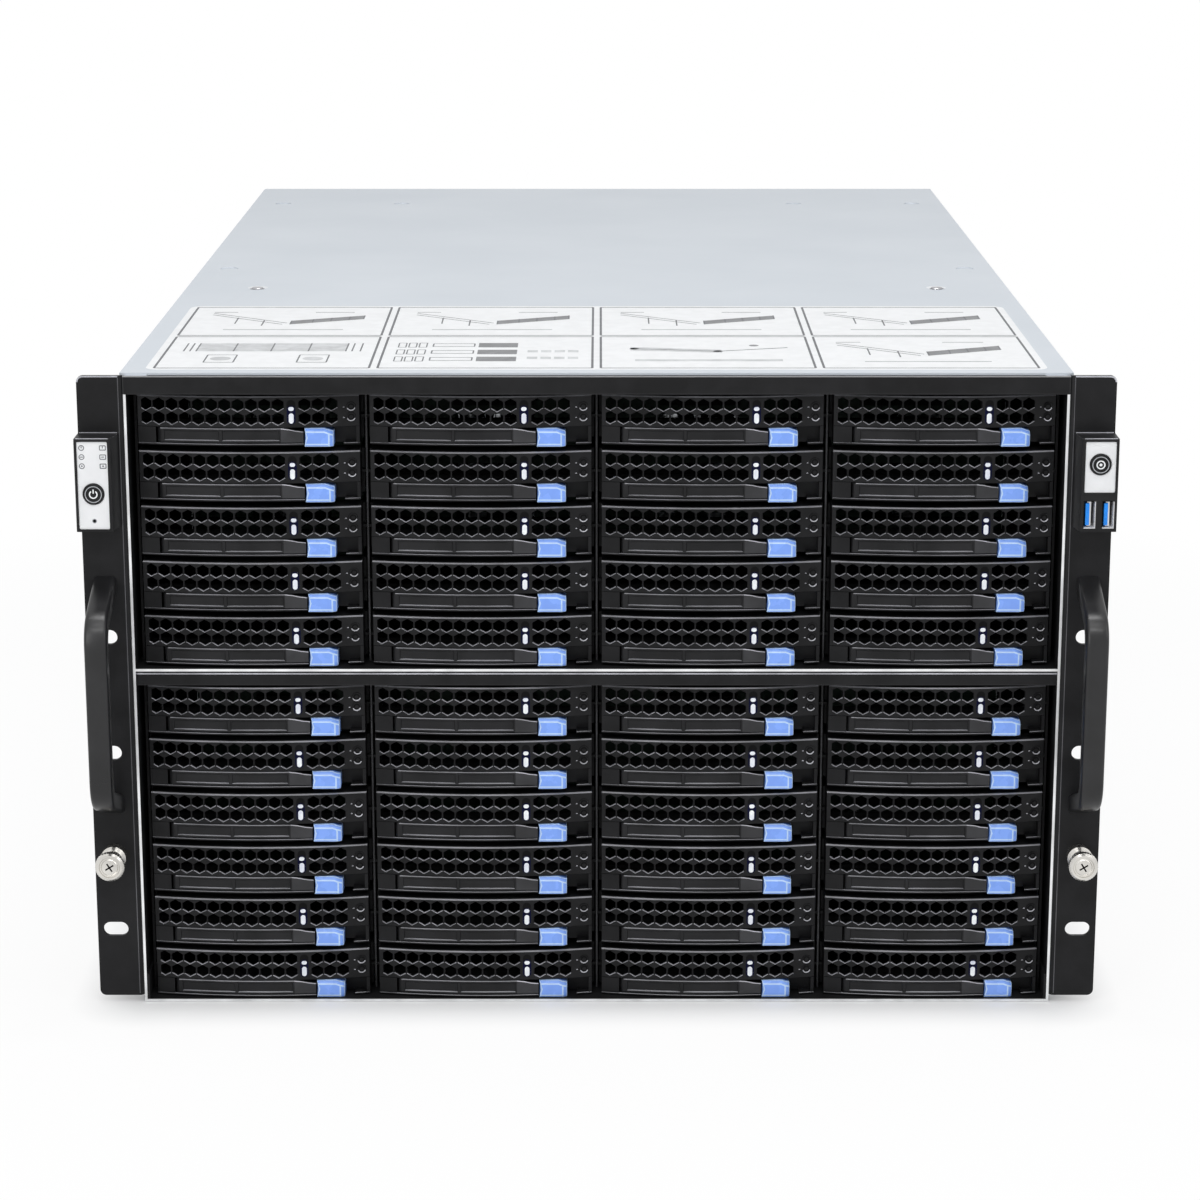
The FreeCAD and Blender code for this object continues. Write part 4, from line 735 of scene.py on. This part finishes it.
# Besides each plastic: painted highlights on edges and on the lever's neck, and painted shade in the pits
# and the window's dark patch
dress_trays("bezel", "tray_bezels", bezel_mesh, "bezel_plastic", "rim_edge", "hole_black", "tray_edge")
dress_trays("light_pipes", "tray_light_pipes", window_mesh, "light_pipe", "window_navy", "hole_black")
dress_trays("lever", "tray_levers", lever_mesh, "lever_plastic",
            "tray_edge", "rubbed_plastic", "polished_edge")
dress_trays("latch", "tray_latches", latch_mesh, "latch_blue", "latch_edge")


# Bow handles: a rounded bar along two sloping legs and a grip
HANDLE_THICKNESS = 9.0
HANDLE_BEND = 9.0
HANDLE_CORNER = 1.8
LEG_SLOPE = 12.5


def handle_line(low, high):
    """Centre line of a handle in Y and Z, with round bends."""
    middle = middle_of(low, high)[1]
    base = (high.z - low.z - HANDLE_THICKNESS) / 2
    grip = base - LEG_SLOPE
    reach = low.y + HANDLE_THICKNESS / 2
    turns = ((high.y, base), (reach, grip), (reach, -grip), (high.y, -base))
    corners = [Vector(turn) for turn in turns]
    line = [corners[0]]
    for before, corner, after in zip(corners, corners[1:], corners[2:]):
        enter = corner + (before - corner).normalized() * HANDLE_BEND
        leave = corner + (after - corner).normalized() * HANDLE_BEND
        for step in range(9):
            share = step / 8
            line.append(enter * (1 - share) ** 2 + corner * 2 * share * (1 - share) + leave * share ** 2)
    line.append(corners[-1])
    return [(point.x, middle + point.y) for point in line]


def make_handle(node):
    low, high = box(node)
    half = (high.x - low.x) / 2
    middle = middle_of(low, high)[0]
    line = handle_line(low, high)
    section = rounded(-half, half, -HANDLE_THICKNESS / 2, HANDLE_THICKNESS / 2, HANDLE_CORNER, 3)
    feet = {0: Vector((0, -1)), len(line) - 1: Vector((0, 1))}
    loops = []
    for index, (y, z) in enumerate(line):
        across = feet.get(index)
        if across is None:
            along = (Vector(line[index + 1]) - Vector(line[index - 1])).normalized()
            across = Vector((-along.y, along.x))
        loops.append([(middle + u, y + across.x * v, z + across.y * v) for u, v in section])
    bm = bmesh.new()
    capped(bm, loops)
    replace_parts(piece(f"{node}_fine", bm, "handle_black"), node)


for handle in ("handle_left", "handle_right"):
    make_handle(handle)


# Thumbscrews: a spool with a knurled waist and head, and a cross recess painted black as shade
def make_thumbscrew(node):
    low, high = box(node)
    centre = middle_of(low, high)
    front = low.y
    seat = box("thumbscrew_collars")[0].y
    ear_back = box("ear_left")[0].y + 4.0
    head, waist, flange, shank, thread = (high.x - low.x) / 2, 4.6, 6.0, 3.2, 2.5
    profile = [
        (head - 3.3, front + 0.2), (head - 2.9, front + 0.55), (head - 2.3, front + 0.55),
        (head - 2.0, front), (head - 1.0, front), (head, front + 1.0), (head, front + 3.8),
        (head - 0.7, front + 4.4), (waist, front + 6.2), (waist, front + 11.6), (flange, front + 13.4),
        (flange, seat - 0.1), (shank, seat - 0.1), (shank, ear_back), (thread, ear_back), (thread, high.y),
    ]
    head_knurl, waist_knurl = 0.22, 0.2
    arm, arm_width = 2.3, 0.75
    bm = bmesh.new()
    lathe(bm, centre, profile, 72, {5: head_knurl, 6: head_knurl, 8: waist_knurl, 9: waist_knurl})
    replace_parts(piece(f"{node}_fine", bm, "nickel", node), node)
    # Black strokes on the head for the cross recess: painted shade
    recess = []
    for lean in (0.55, -1.02):
        reach = Vector((math.cos(lean), math.sin(lean))) * arm
        slot = stroke(Vector(centre) - reach, Vector(centre) + reach, arm_width)
        recess.append((slot, on_front(front + 0.2), -0.6, 0.02))
    solids(f"{node}_recess", "hole_black", recess, node)


for thumbscrew in ("thumbscrew_left", "thumbscrew_right"):
    make_thumbscrew(thumbscrew)


# Control panels: printed marks on the plates and buttons, a pinhole painted black as shade, and the
# sockets' insides with painted shade and painted highlights
PRINT = 0.06
BUTTON_RING = (3.55, 3.95)
# Status icons in two columns and three rows, and the reset pinhole
ICON_SIZE, ICON_LINE = 1.35, 0.4
ICON_SIDE, ICON_TOP, ICON_PITCH = 4.9, 3.4, 4.3
PINHOLE_HEIGHT, PINHOLE_RADIUS, PINHOLE_RIM = 4.4, 0.8, 1.15


def print_shape(bm, outline, place):
    raise_outline(bm, outline, place, -PRINT, PRINT)


def print_line(bm, start, end, width, place):
    print_shape(bm, stroke(start, end, width), place)


def print_ring(bm, middle, inner, outer, place, start=0, sweep=360, count=32):
    """A printed ring, or part of one when the sweep is less than a full turn."""
    u, v = middle
    corners = ((inner, -PRINT), (outer, -PRINT), (outer, PRINT), (inner, PRINT))
    sections = []
    for index in range(count + (sweep < 360)):
        turn = math.radians(start + sweep * index / count)
        sections.append([place(u + radius * math.cos(turn), v + radius * math.sin(turn), height)
                         for radius, height in corners])
    if sweep < 360:
        capped(bm, sections)
    else:
        rings = skin(bm, sections + sections[:1])
        bmesh.ops.remove_doubles(bm, verts=rings[0] + rings[-1], dist=1e-5)


def frame_lines(u, v, half_u, half_v, width):
    """The outline of a rectangle as four lines."""
    corners = rectangle(u - half_u, u + half_u, v - half_v, v + half_v)
    return [stroke(start, end, width) for start, end in zip(corners, corners[1:] + corners[:1])]


def mark_button(node, draw):
    """A ring near the button's rim, and a symbol in its middle."""
    low, high = box(node)
    middle = middle_of(low, high)
    face = on_front(low.y)
    ring = bmesh.new()
    print_ring(ring, middle, *BUTTON_RING, face)
    piece(f"{node}_ring", ring, "pale_ink", node)
    symbol = bmesh.new()
    draw(symbol, middle, face)
    piece(f"{node}_symbol", symbol, "label_white", node)


def draw_power(bm, middle, place):
    u, v = middle
    print_ring(bm, middle, 1.45, 2.05, place, 125, 290, 24)
    print_line(bm, (u, v + 0.4), (u, v + 2.4), 0.6, place)


def draw_beacon(bm, middle, place):
    print_ring(bm, middle, 1.5, 2.1, place)
    print_shape(bm, circle(*middle, 0.7), place)


def draw_status_icon(bm, number, middle, place):
    """Small generic signs: rings and boxes with a line, a bar or a dot inside."""
    u, v = middle
    if number % 2:
        for line in frame_lines(u, v, ICON_SIZE, ICON_SIZE * 0.75, ICON_LINE):
            print_shape(bm, line, place)
    else:
        print_ring(bm, middle, ICON_SIZE - ICON_LINE, ICON_SIZE, place, count=20)
    if number < 2:
        print_line(bm, (u, v - 0.2), (u, v + 0.8), ICON_LINE, place)
    elif number < 4:
        print_line(bm, (u - 0.7, v), (u + 0.7, v), ICON_LINE, place)
    else:
        print_shape(bm, circle(u, v, 0.4, 12), place)


def frame_plate(side):
    """A raised rim of the housing around its plate."""
    low, high = box(f"{side}_panel_plate")
    overlap, rise = 0.5, 0.5
    housing_low, housing_high = box(f"{side}_panel_housing")
    border = min(low.x - housing_low.x, housing_high.x - high.x)
    place = on_front(low.y)
    outer = rounded(low.x - border, high.x + border, low.z - border, high.z + border, 1.0)
    inner = rounded(low.x + overlap, high.x - overlap, low.z + overlap, high.z - overlap, 0.6)
    bm = bmesh.new()
    skin(bm, lift(place, ((outer, -0.5), (outer, rise - 0.3), (inner, rise), (inner, -0.5))))
    piece(f"{side}_panel_rim", bm, "housing_plastic")
    # A strip along the housing's top edge: a painted highlight
    edge = stroke((low.x, high.z + border), (high.x, high.z + border), 0.5)
    solids(f"{side}_panel_top_highlight", "polished_edge", [(edge, place, -0.4, 0.2)], rounding=0.15)


def dress_panels():
    for side in ("left", "right"):
        frame_plate(side)
    low, high = box("left_panel_plate")
    middle = middle_of(low, high)[0]
    face = on_front(low.y)
    icons = bmesh.new()
    for number in range(6):
        row, column = divmod(number, 2)
        spot = (middle + ICON_SIDE * (2 * column - 1), high.z - ICON_TOP - ICON_PITCH * row)
        draw_status_icon(icons, number, spot, face)
    piece("status_icons", icons, "ink")
    spot = (middle, low.z + PINHOLE_HEIGHT)
    # The pinhole is a black disc on the plate: painted shade
    solids("reset_pinhole", "hole_black", [(circle(*spot, PINHOLE_RADIUS, 16), face, -0.2, 0.03)])
    rim = bmesh.new()
    print_ring(rim, spot, PINHOLE_RADIUS, PINHOLE_RIM, face, count=20)
    piece("reset_pinhole_rim", rim, "pale_ink")
    mark_button("power_button", draw_power)
    mark_button("locate_button", draw_beacon)


def dress_sockets():
    """In each socket a blue tongue at the left with four contacts; its back, two walls and two front rims
    are painted black as shade, and two walls pale as a painted highlight.
    """
    low, high = box("usb_ports")
    width, wall, film = 5.7, 0.32, 0.1
    first, pitch = 3.2, 2.2
    depth = high.y - low.y
    bottom, top = low.z + wall, high.z - wall
    back, rim = on_front(high.y), on_front(low.y)
    shaded_walls, lit_walls, tongues, contacts = [], [], [], []
    for outer_left in (low.x, high.x - width):
        left, right = outer_left + wall, outer_left + width - wall
        shaded_walls += [
            (rectangle(left, right, bottom, top), back, 0.2, 0.4),
            (rectangle(left, left + film, bottom, top), back, 0.3, depth - 0.3),
            (rectangle(left, right, top - film, top), back, 0.3, depth - 0.3),
            (rectangle(left - wall, left, low.z, high.z), rim, -PRINT, PRINT),
            (rectangle(left, right + wall, top, high.z), rim, -PRINT, PRINT),
        ]
        lit_walls += [
            (rectangle(right - film, right, bottom, top), back, 0.4, depth - PRINT),
            (rectangle(left, right, bottom, bottom + film), back, 0.4, depth - PRINT),
        ]
        tongues.append((rectangle(left + 0.7, left + 2.6, bottom + 1, top - 1), back, 0.5, depth - 0.8))
        for number in range(4):
            z = low.z + first + pitch * number
            contacts.append((rectangle(left + 2.55, left + 2.75, z - 0.4, z + 0.4), back, 1.0, depth - 3.0))
    solids("usb_wall_painted_shade", "hole_black", shaded_walls)
    solids("usb_wall_painted_highlight", "shell_glint", lit_walls)
    solids("usb_tongues", "usb_blue", tongues, rounding=0.2)
    solids("usb_contacts", "gold", contacts)


dress_panels()
dress_sockets()


# Guide sheet on the cover: two rows of four framed panels with line drawings.
# A drawing gives the ink and outline of each of its marks, measured from the panel's middle.
THIN, THICK = 0.7, 1.1
GUIDE_INKS = {"pale": ("pale_print", PRINT / 2), "mid": ("mid_print", PRINT / 2), "line": ("ink", PRINT)}


def frame_marks(u, v, half_u, half_v, width=THIN):
    return [("line", outline) for outline in frame_lines(u, v, half_u, half_v, width)]


def draw_bays():
    """Four pale bays between posts, and two framed details under them."""
    bay, low, high = 18, 2, 24
    for number in range(-2, 2):
        yield "pale", rectangle(bay * number, bay * (number + 1), low, high)
    for post in (-42, -39, -36, -18, 0, 18, 36, 39, 43):
        yield "line", stroke((post, low), (post, high), THIN)
    for side in (-22, 22):
        yield from frame_marks(side, -18, 7, 10)
        yield "pale", circle(side, -18, 5)


def draw_rows():
    """Three stacked units with cells, a slot and a shaded end, and plain bars for lines of writing."""
    for level in (-19, 0, 19):
        for cell in range(3):
            yield from frame_marks(5 * cell - 42, level, 1.8, 6, 0.6)
        yield from frame_marks(-17, level, 10, 4)
        yield "mid", rectangle(-5, 14, level - 6, level + 6)
    for level in (-16, 2):
        for word in range(4):
            left = 19 + 6.5 * word
            yield "pale", rectangle(left, left + 5, level - 3, level + 3)


def draw_tray():
    """A slanted tray with its lever swung out, and leader lines."""
    foot, tip, depth = Vector((2, -10)), Vector((38, 6)), Vector((0, 11))
    yield "mid", [foot, tip, tip + depth, foot + depth]
    for share in (0, 0.3, 0.55, 0.8, 1):
        spot = foot.lerp(tip, share)
        yield "line", stroke(spot, spot + depth, THIN)
    leaders = (((-40, 24), (0, -6)), ((-40, 19), (-2, -10)), ((-26, 10), (-26, -8)), ((-12, 2), (-12, -14)),
               ((-40, 27), (-28, 27)), ((12, 27), (32, 27)), ((-30, -26), (30, -26)))
    for start, end in leaders:
        yield "line", stroke(start, end, THIN)


def draw_lever():
    """A lever with its pivot and leader lines, over a bar of writing."""
    tail, pivot, tip = (-34, 9), (6, 2), (40, 12)
    yield "pale", [(-36, 4), (8, -2), (8, 6), (-36, 14)]
    for spot in (tail, pivot, (24, 18)):
        yield "mid", circle(*spot, 2.4, 12)
    yield "line", stroke(tail, pivot, THICK)
    yield "line", stroke(pivot, tip, THICK)
    yield "pale", rectangle(-34, 36, -25, -20)


def make_guide_sheet():
    low, high = box("top_cover")
    thickness, margin = 0.08, 4.0
    half_width, near, far = 211.0, low.y + 8, low.y + 192
    sheet = rounded(-half_width, half_width, near, far, 6)
    solids("guide_sheet", "label_white", [(sheet, on_top(high.z), -0.1, thickness)], "cover")
    face = on_top(high.z + thickness)
    pitch_u = (2 * half_width - margin) / 4
    pitch_v = (far - near - margin) / 2
    border = frame_marks(0, 0, (pitch_u - margin) / 2, (pitch_v - margin) / 2, THICK)
    shapes = {ink: [] for ink in GUIDE_INKS}
    for number, draw in enumerate((draw_bays, draw_rows, draw_lever) + 5 * (draw_tray,)):
        row, column = divmod(number, 4)
        u = margin / 2 - half_width + pitch_u * (column + 0.5)
        v = margin / 2 + near + pitch_v * (row + 0.5)
        for ink, outline in (*border, *draw()):
            moved = [(u + right, v + up) for right, up in outline]
            shapes[ink].append((moved, face, -PRINT, GUIDE_INKS[ink][1]))
    for ink, (finish, _) in GUIDE_INKS.items():
        solids(f"guide_sheet_{ink}", finish, shapes[ink], "cover")


make_guide_sheet()


# Bright raw edges of the sheet: the shelf under the upper trays, the side panels and the base pan, and a
# painted highlight along the top of the beam below the shelf
def strip(low_u, high_u, low_v, high_v, y):
    """A thin plate on a front edge at y."""
    return rectangle(low_u, high_u, low_v, high_v), on_front(y), -0.8, 0.1


def make_raw_edges():
    beam_low, beam_high = box("front_mid_beam")
    cage_low, cage_high = box("drive_cage_upper")
    side_low, side_high = box("side_panel_left")
    pan_low, pan_high = box("base_pan")
    edges = [strip(cage_low.x, cage_high.x, beam_high.z, beam_high.z + SHEET, cage_low.y)]
    for left in (side_low.x, -side_low.x - SHEET):
        edges.append(strip(left, left + SHEET, side_low.z, side_high.z, side_low.y))
    edges.append(strip(pan_low.x, pan_high.x, pan_low.z, pan_low.z + SHEET, pan_low.y))
    solids("raw_edges", "raw_edge", edges)
    # A strip along the beam's top front edge: a painted highlight
    beam_highlight = strip(beam_low.x, beam_high.x, beam_high.z - 1.8, beam_high.z - 1.1, beam_low.y)
    solids("mid_beam_edge_highlight", "polished_edge", [beam_highlight])


def make_divider_edges():
    """Painted highlights on the front edges of the dividers between the tray columns."""
    cage_low, cage_high = box("drive_cage_lower")
    top = box("drive_cage_upper")[1].z
    pitch = (cage_high.x - cage_low.x - SHEET) / COLUMNS
    edges = []
    for column in range(1, COLUMNS):
        x = cage_low.x + SHEET / 2 + column * pitch
        for low_z, high_z in ((cage_low.z, cage_high.z), (cage_high.z + SHEET, top - SHEET)):
            edges.append(strip(x - 0.3, x + 0.3, low_z, high_z, cage_low.y))
    solids("divider_edge_highlights", "worn_edge", edges)


def make_screw_seats():
    """A pale pressed seat behind each cover screw, which is a painted highlight, and a dark gap in front of
    its head, which is painted shadow.
    """
    low, high = box("cover_screws")
    head = (high.y - low.y) / 2
    seat, shift, near, far = 5.4, 2.4, 0.1, 1.1
    y = low.y + head
    face = on_top(box("top_cover")[1].z)
    seat_highlights, gap_shadows = [], []
    for x in (low.x + head, high.x - head):
        seat_highlights.append((circle(x, y + shift, seat), face, -0.1, 0.04))
        outer = circle(x, y, head + far, 36)[20:35]
        inner = circle(x, y, head + near, 36)[20:35]
        gap_shadows.append((outer + inner[::-1], face, -0.1, 0.07))
    solids("cover_screw_seat_highlights", "seat_pale", seat_highlights, "cover")
    solids("cover_screw_painted_shadows", "hole_black", gap_shadows, "cover")


def make_ear_edges():
    """Painted highlights on edges: round the top of each ear, down its inner bend and along the housing's
    foot.
    """
    corner, bend, width = 3.0, 2.0, 0.7
    tops, bends = [], []
    for name, outward in (("left", -1), ("right", 1)):
        low, high = box(f"ear_{name}")
        outer, inner = (low.x, high.x) if outward < 0 else (high.x, low.x)
        face = on_front(low.y)
        arc = circle(0, 0, corner - width / 2, 24)[:7]
        line = [(outer + outward * (u - corner), high.z - corner + v) for u, v in arc]
        line.append((inner + outward * bend, high.z - width / 2))
        tops += [(stroke(start, end, width), face, -0.3, 0.06) for start, end in zip(line, line[1:])]
        x = inner + outward * bend
        bends.append((stroke((x, low.z + 1), (x, high.z - 1), 0.4), face, -0.3, 0.06))
        housing_low, housing_high = box(f"{name}_panel_housing")
        tops.append(strip(housing_low.x + 0.6, housing_high.x - 0.6,
                          housing_high.z - 0.1, housing_high.z + 0.4, low.y))
    solids("ear_top_highlights", "polished_edge", tops)
    solids("ear_bend_highlights", "worn_edge", bends)


def make_linings():
    """Black layers on the sheet around the trays: both sides, the pan's flanges and the floor."""
    side_low, side_high = box("side_panel_left")
    front, back = side_low.y + 0.3, box("backplane_upper")[0].y
    flange_top = box("base_pan")[1].z
    inner = -side_low.x - SHEET
    plates = []
    for side in (-1, 1):
        wall = rectangle(front, back, side_low.z + 0.3, side_high.z - 2 * SHEET)
        plates.append((wall, on_side(side * inner, -side), -0.1, 0.06))
        flange = rectangle(side_low.y - 0.06, back, SHEET, flange_top + 0.06)
        plates.append((flange, on_side(side * (inner - SHEET), -side), -0.1 - SHEET, 0.06))
    plates.append((rectangle(0.1 - inner, inner - 0.1, front, back), on_top(SHEET), -0.1, 0.06))
    solids("bay_linings", "black_paint", plates)


make_raw_edges()
make_divider_edges()
make_screw_seats()
make_ear_edges()
make_linings()


# Screen grid behind the rear vent, deep enough to stop a sloping look through it
def make_vent_grid():
    low, high = box("rear_vent_panel")
    depth, bar, pitch, inset = 20.0, 0.4, 3.6, 7.0
    back = on_front(low.y)
    left, right, bottom, top = low.x + inset, high.x - inset, low.z + inset, high.z - inset
    bars = []
    for number in range(int((high.z - low.z - 2 * inset) / pitch) + 1):
        z = bottom + pitch * number
        bars.append((rectangle(left, right, z - bar / 2, z + bar / 2), back, 0.05, depth))
    for number in range(int((high.x - low.x - 2 * inset) / pitch) + 1):
        x = left + pitch * number
        bars.append((rectangle(x - bar / 2, x + bar / 2, bottom, top), back, 0.05, depth))
    solids("rear_vent_grid", "galvanized", bars)


make_vent_grid()


# Fasteners on the sides and rear
RIVET = (2.6, 0.8)
SIDE_RIVETS = 8
FRONT_MARGIN, REAR_MARGIN = 50, 30
SIDE_RIVET_HEIGHTS = (16.0, 166.0)


def rivet_mesh(place, spots, radius, rise):
    """Low domes."""
    shares = (0.92, 0.7, 0.35)
    heights = [rise * math.sqrt(1 - (share * 0.98) ** 2) for share in shares]
    bm = bmesh.new()
    for spot in spots:
        stack(bm, place, [(circle(*spot, radius * share, 16), height)
                          for share, height in zip((1, *shares), (-0.1, *heights))])
    return bm


def dress_sides():
    low, high = box("side_panel_left")
    start = low.y + FRONT_MARGIN
    step = (high.y - REAR_MARGIN - start) / (SIDE_RIVETS - 1)
    spots = [(start + step * number, z) for number in range(SIDE_RIVETS) for z in SIDE_RIVET_HEIGHTS]
    for name, side in (("side_rivets_left", -1), ("side_rivets_right", 1)):
        face = on_side(side * -low.x, side)
        piece(name, rivet_mesh(face, spots, *RIVET), "screw_steel")


def dress_rear():
    low, high = box("rear_vent_panel")
    face = on_rear(box("rear_panel")[1].y)
    out = 6
    spots = [(x, z) for x in (low.x - out, 0, high.x + out) for z in (low.z - out, high.z + out)]
    piece("rear_rivets", rivet_mesh(face, spots, *RIVET), "screw_steel")


dress_sides()
dress_rear()


# Power supplies: perforations painted black as shade, inlet pins and a status lamp
def dress_supply(number):
    node = f"power_supply_{number}"
    low, high = box(node)
    panel = box("rear_panel")[1].y
    face = on_rear(panel)
    first_u, first_v, pitch_u, pitch_v, radius = low.x + 16, low.z + 7, 3.2, 2.9, 1.15
    holes = []
    for row in range(9):
        for column in range(9):
            u = first_u + pitch_u * (column + row % 2 / 2)
            holes.append((circle(u, first_v + pitch_v * row, radius, 8), face, -0.2, 0.02))
    # Black discs for the holes: painted shade
    solids(f"{node}_perforations", "hole_black", holes, node)
    pins = []
    inlet_width, inlet_height, inlet_depth = 27, 20, 14
    inlet = (high.x - 3 - inlet_width / 2, low.z + 4 + inlet_height / 2)
    floor = on_rear(panel - inlet_depth)
    for side, up in ((-7, -2), (7, -2), (0, 4)):
        u, v = inlet[0] + side, inlet[1] + up
        pins.append((rectangle(u - 1, u + 1, v - 2.2, v + 2.2), floor, -0.2, inlet_depth - 3))
    solids(f"{node}_inlet_pins", "nickel", pins, node, 0.3)
    lamp = rivet_mesh(face, [(inlet[0] + 9, low.z + 31)], 1.4, 0.7)
    piece(f"{node}_lamp", lamp, "supply_latch", node)


for supply in (1, 2):
    dress_supply(supply)


# Drive sockets on the backplanes: a black shell with a tongue, one behind each tray
def make_drive_sockets():
    face = on_front(box("backplane_upper")[0].y)
    shell_u, shell_v, tongue_u, tongue_v = 21.5, 4, 18, 0.8
    sockets = []
    for spot in FIXED_SPOTS + list(LIVE_SPOTS.values()):
        u, v = spot.x, spot.z + BEZEL_HEIGHT / 2
        shell = rounded(u - shell_u, u + shell_u, v - shell_v, v + shell_v, 0.8)
        sockets.append((shell, face, -5.5, 0.4))
        tongue = rectangle(u - tongue_u, u + tongue_u, v - tongue_v, v + tongue_v)
        sockets.append((tongue, face, 0.2, 2.4))
    solids("drive_sockets", "frame_plastic", sockets)


make_drive_sockets()


# Finishes for the nodes that show as they are
def finish_nodes():
    for row in frame["record"]["subparts"]:
        node = frame["nodes"][row["node"]]
        node.data.materials.clear()
        node.data.materials.append(FINISHES[row["material_slot"]])


finish_nodes()


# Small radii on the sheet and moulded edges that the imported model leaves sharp
EDGE_RADII = {
    0.6: ("ear_left", "ear_right"),
    0.5: ("front_top_beam", "left_panel_housing", "right_panel_housing"),
    0.4: ("front_mid_beam", "top_cover"),
    0.3: ("thumbscrew_collars",),
    0.25: ("power_button", "locate_button"),
    0.2: ("left_panel_plate", "right_panel_plate"),
}


def round_edges(name, radius):
    node = frame["nodes"][name]
    takes_top_highlight = node.data.materials[0] in (FINISHES["black_paint"], FINISHES["housing_plastic"])
    weld = node.modifiers.new("weld", "WELD")
    weld.merge_threshold = 0.001 * MM
    bevel = node.modifiers.new("edges", "BEVEL")
    bevel.width = radius * MM
    bevel.segments = 2
    bevel.limit_method = "ANGLE"
    bevel.angle_limit = math.radians(40)
    # On black paint and housing plastic the rounded edges take a painted highlight, pale where they face up
    if takes_top_highlight:
        node.data.materials.append(FINISHES["up_face_highlight"])
        bevel.material = 1


for radius, names in EDGE_RADII.items():
    for name in names:
        round_edges(name, radius)


# Studio: white floor and surroundings, and soft lamps above, in front and at both sides.
# Each lamp has a place, a target, a width and height, and a power.
LAMPS = {
    "key": ((0.0, -1.2, 2.0), (0, -0.3, 0.2), (1.5, 0.5), 6),
    "top": ((0.0, -0.25, 2.3), (0, -0.25, 0), (1.4, 0.2), 16),
    "strip": ((0.0, -1.75, 1.65), (0, -0.36, 0.15), (1.6, 0.15), 9),
    "left": ((-1.2, -2.0, 0.8), (0, -0.3, 0.15), (0.8, 1.2), 8),
    "right": ((1.6, -1.2, 1.2), (0, -0.2, 0.15), (0.8, 1.2), 5),
}
# The floor's white grows from a start at the part to full at some distance, once close by and once far out
GLOW_STEPS = ((0.1, 0.036), (0.88, 0.4))
CAMERA_PLACE = (0.0016, -1.829, 0.583)
LOOK_DOWN = 14.36
LENS = 97.7


def show_white(tree, lit, white, output):
    """Show a white shader to the camera, gloss and glass, and another to the light."""
    path = add_node(tree, "LightPath", {})
    share = path.outputs["Is Camera Ray"]
    for ray in ("Is Glossy Ray", "Is Transmission Ray"):
        share = add_node(tree, "Math", {0: share, 1: path.outputs[ray]}, operation="MAXIMUM").outputs[0]
    mix = add_node(tree, "MixShader", {0: share, 1: lit.outputs[0], 2: white.outputs[0]})
    tree.links.new(mix.outputs[0], output.inputs["Surface"])


def make_world():
    world = bpy.data.worlds.new("studio")
    world.use_nodes = True
    bpy.context.scene.world = world
    tree = world.node_tree
    lit = tree.nodes["Background"]
    lit.inputs["Color"].default_value = (0.95, 0.97, 1.0, 1)
    lit.inputs["Strength"].default_value = 0.3
    white = add_node(tree, "Background", {"Color": (1, 1, 1, 1), "Strength": 1.0})
    show_white(tree, lit, white, tree.nodes["World Output"])


def glow_share(tree):
    """How much of the floor is plain white: less close to the part, so that its shadow shows there."""
    high = box("base_pan")[1]
    away = add_node(tree, "TexCoord", {}).outputs["Object"]
    corner = (high.x * MM, high.y * MM, 0)
    for operation, value in (("ABSOLUTE", (0, 0, 0)), ("SUBTRACT", corner), ("MAXIMUM", (0, 0, 0))):
        away = add_node(tree, "VectorMath", {0: away, 1: value}, operation=operation).outputs["Vector"]
    distance = add_node(tree, "VectorMath", {0: away}, operation="LENGTH").outputs["Value"]
    shares = []
    for start, reach in GLOW_STEPS:
        growth = add_node(tree, "MapRange", {"Value": distance, "From Max": reach, "To Min": start})
        shares.append(growth.outputs["Result"])
    return add_node(tree, "Math", dict(enumerate(shares)), operation="MULTIPLY").outputs[0]


def make_floor():
    half, drop = 30.0, -0.0003
    mesh = bpy.data.meshes.new("floor")
    mesh.from_pydata([(x, y, drop) for x, y in rectangle(-half, half, -half, half)], [], [(0, 1, 2, 3)])
    floor = add_object("floor", mesh)
    finish = new_finish("studio_floor", (0.98, 0.98, 0.98), 0.9)
    tree = finish.node_tree
    shader = shader_of(finish)
    glow = add_node(tree, "Emission", {"Strength": 1.0})
    ground = add_node(tree, "MixShader", {0: glow_share(tree), 1: shader.outputs[0], 2: glow.outputs[0]})
    show_white(tree, shader, ground, tree.nodes["Material Output"])
    mesh.materials.append(finish)


def add_light(name, place, target, size, power):
    lamp = bpy.data.lights.new(name, "AREA")
    lamp.shape = "RECTANGLE"
    lamp.size, lamp.size_y = size
    lamp.energy = power
    thing = add_object(name, lamp)
    thing.location = place
    thing.rotation_euler = (Vector(target) - Vector(place)).to_track_quat("-Z", "Y").to_euler()


def make_camera():
    camera = bpy.data.cameras.new("camera")
    camera.sensor_width = 36
    camera.lens = LENS
    thing = add_object("camera", camera)
    thing.location = CAMERA_PLACE
    thing.rotation_euler = (math.radians(90 - LOOK_DOWN), 0, 0)
    bpy.context.scene.camera = thing


make_world()
make_floor()
for lamp_name, settings in LAMPS.items():
    add_light(lamp_name, *settings)
make_camera()

bpy.context.scene.view_settings.view_transform = "Standard"
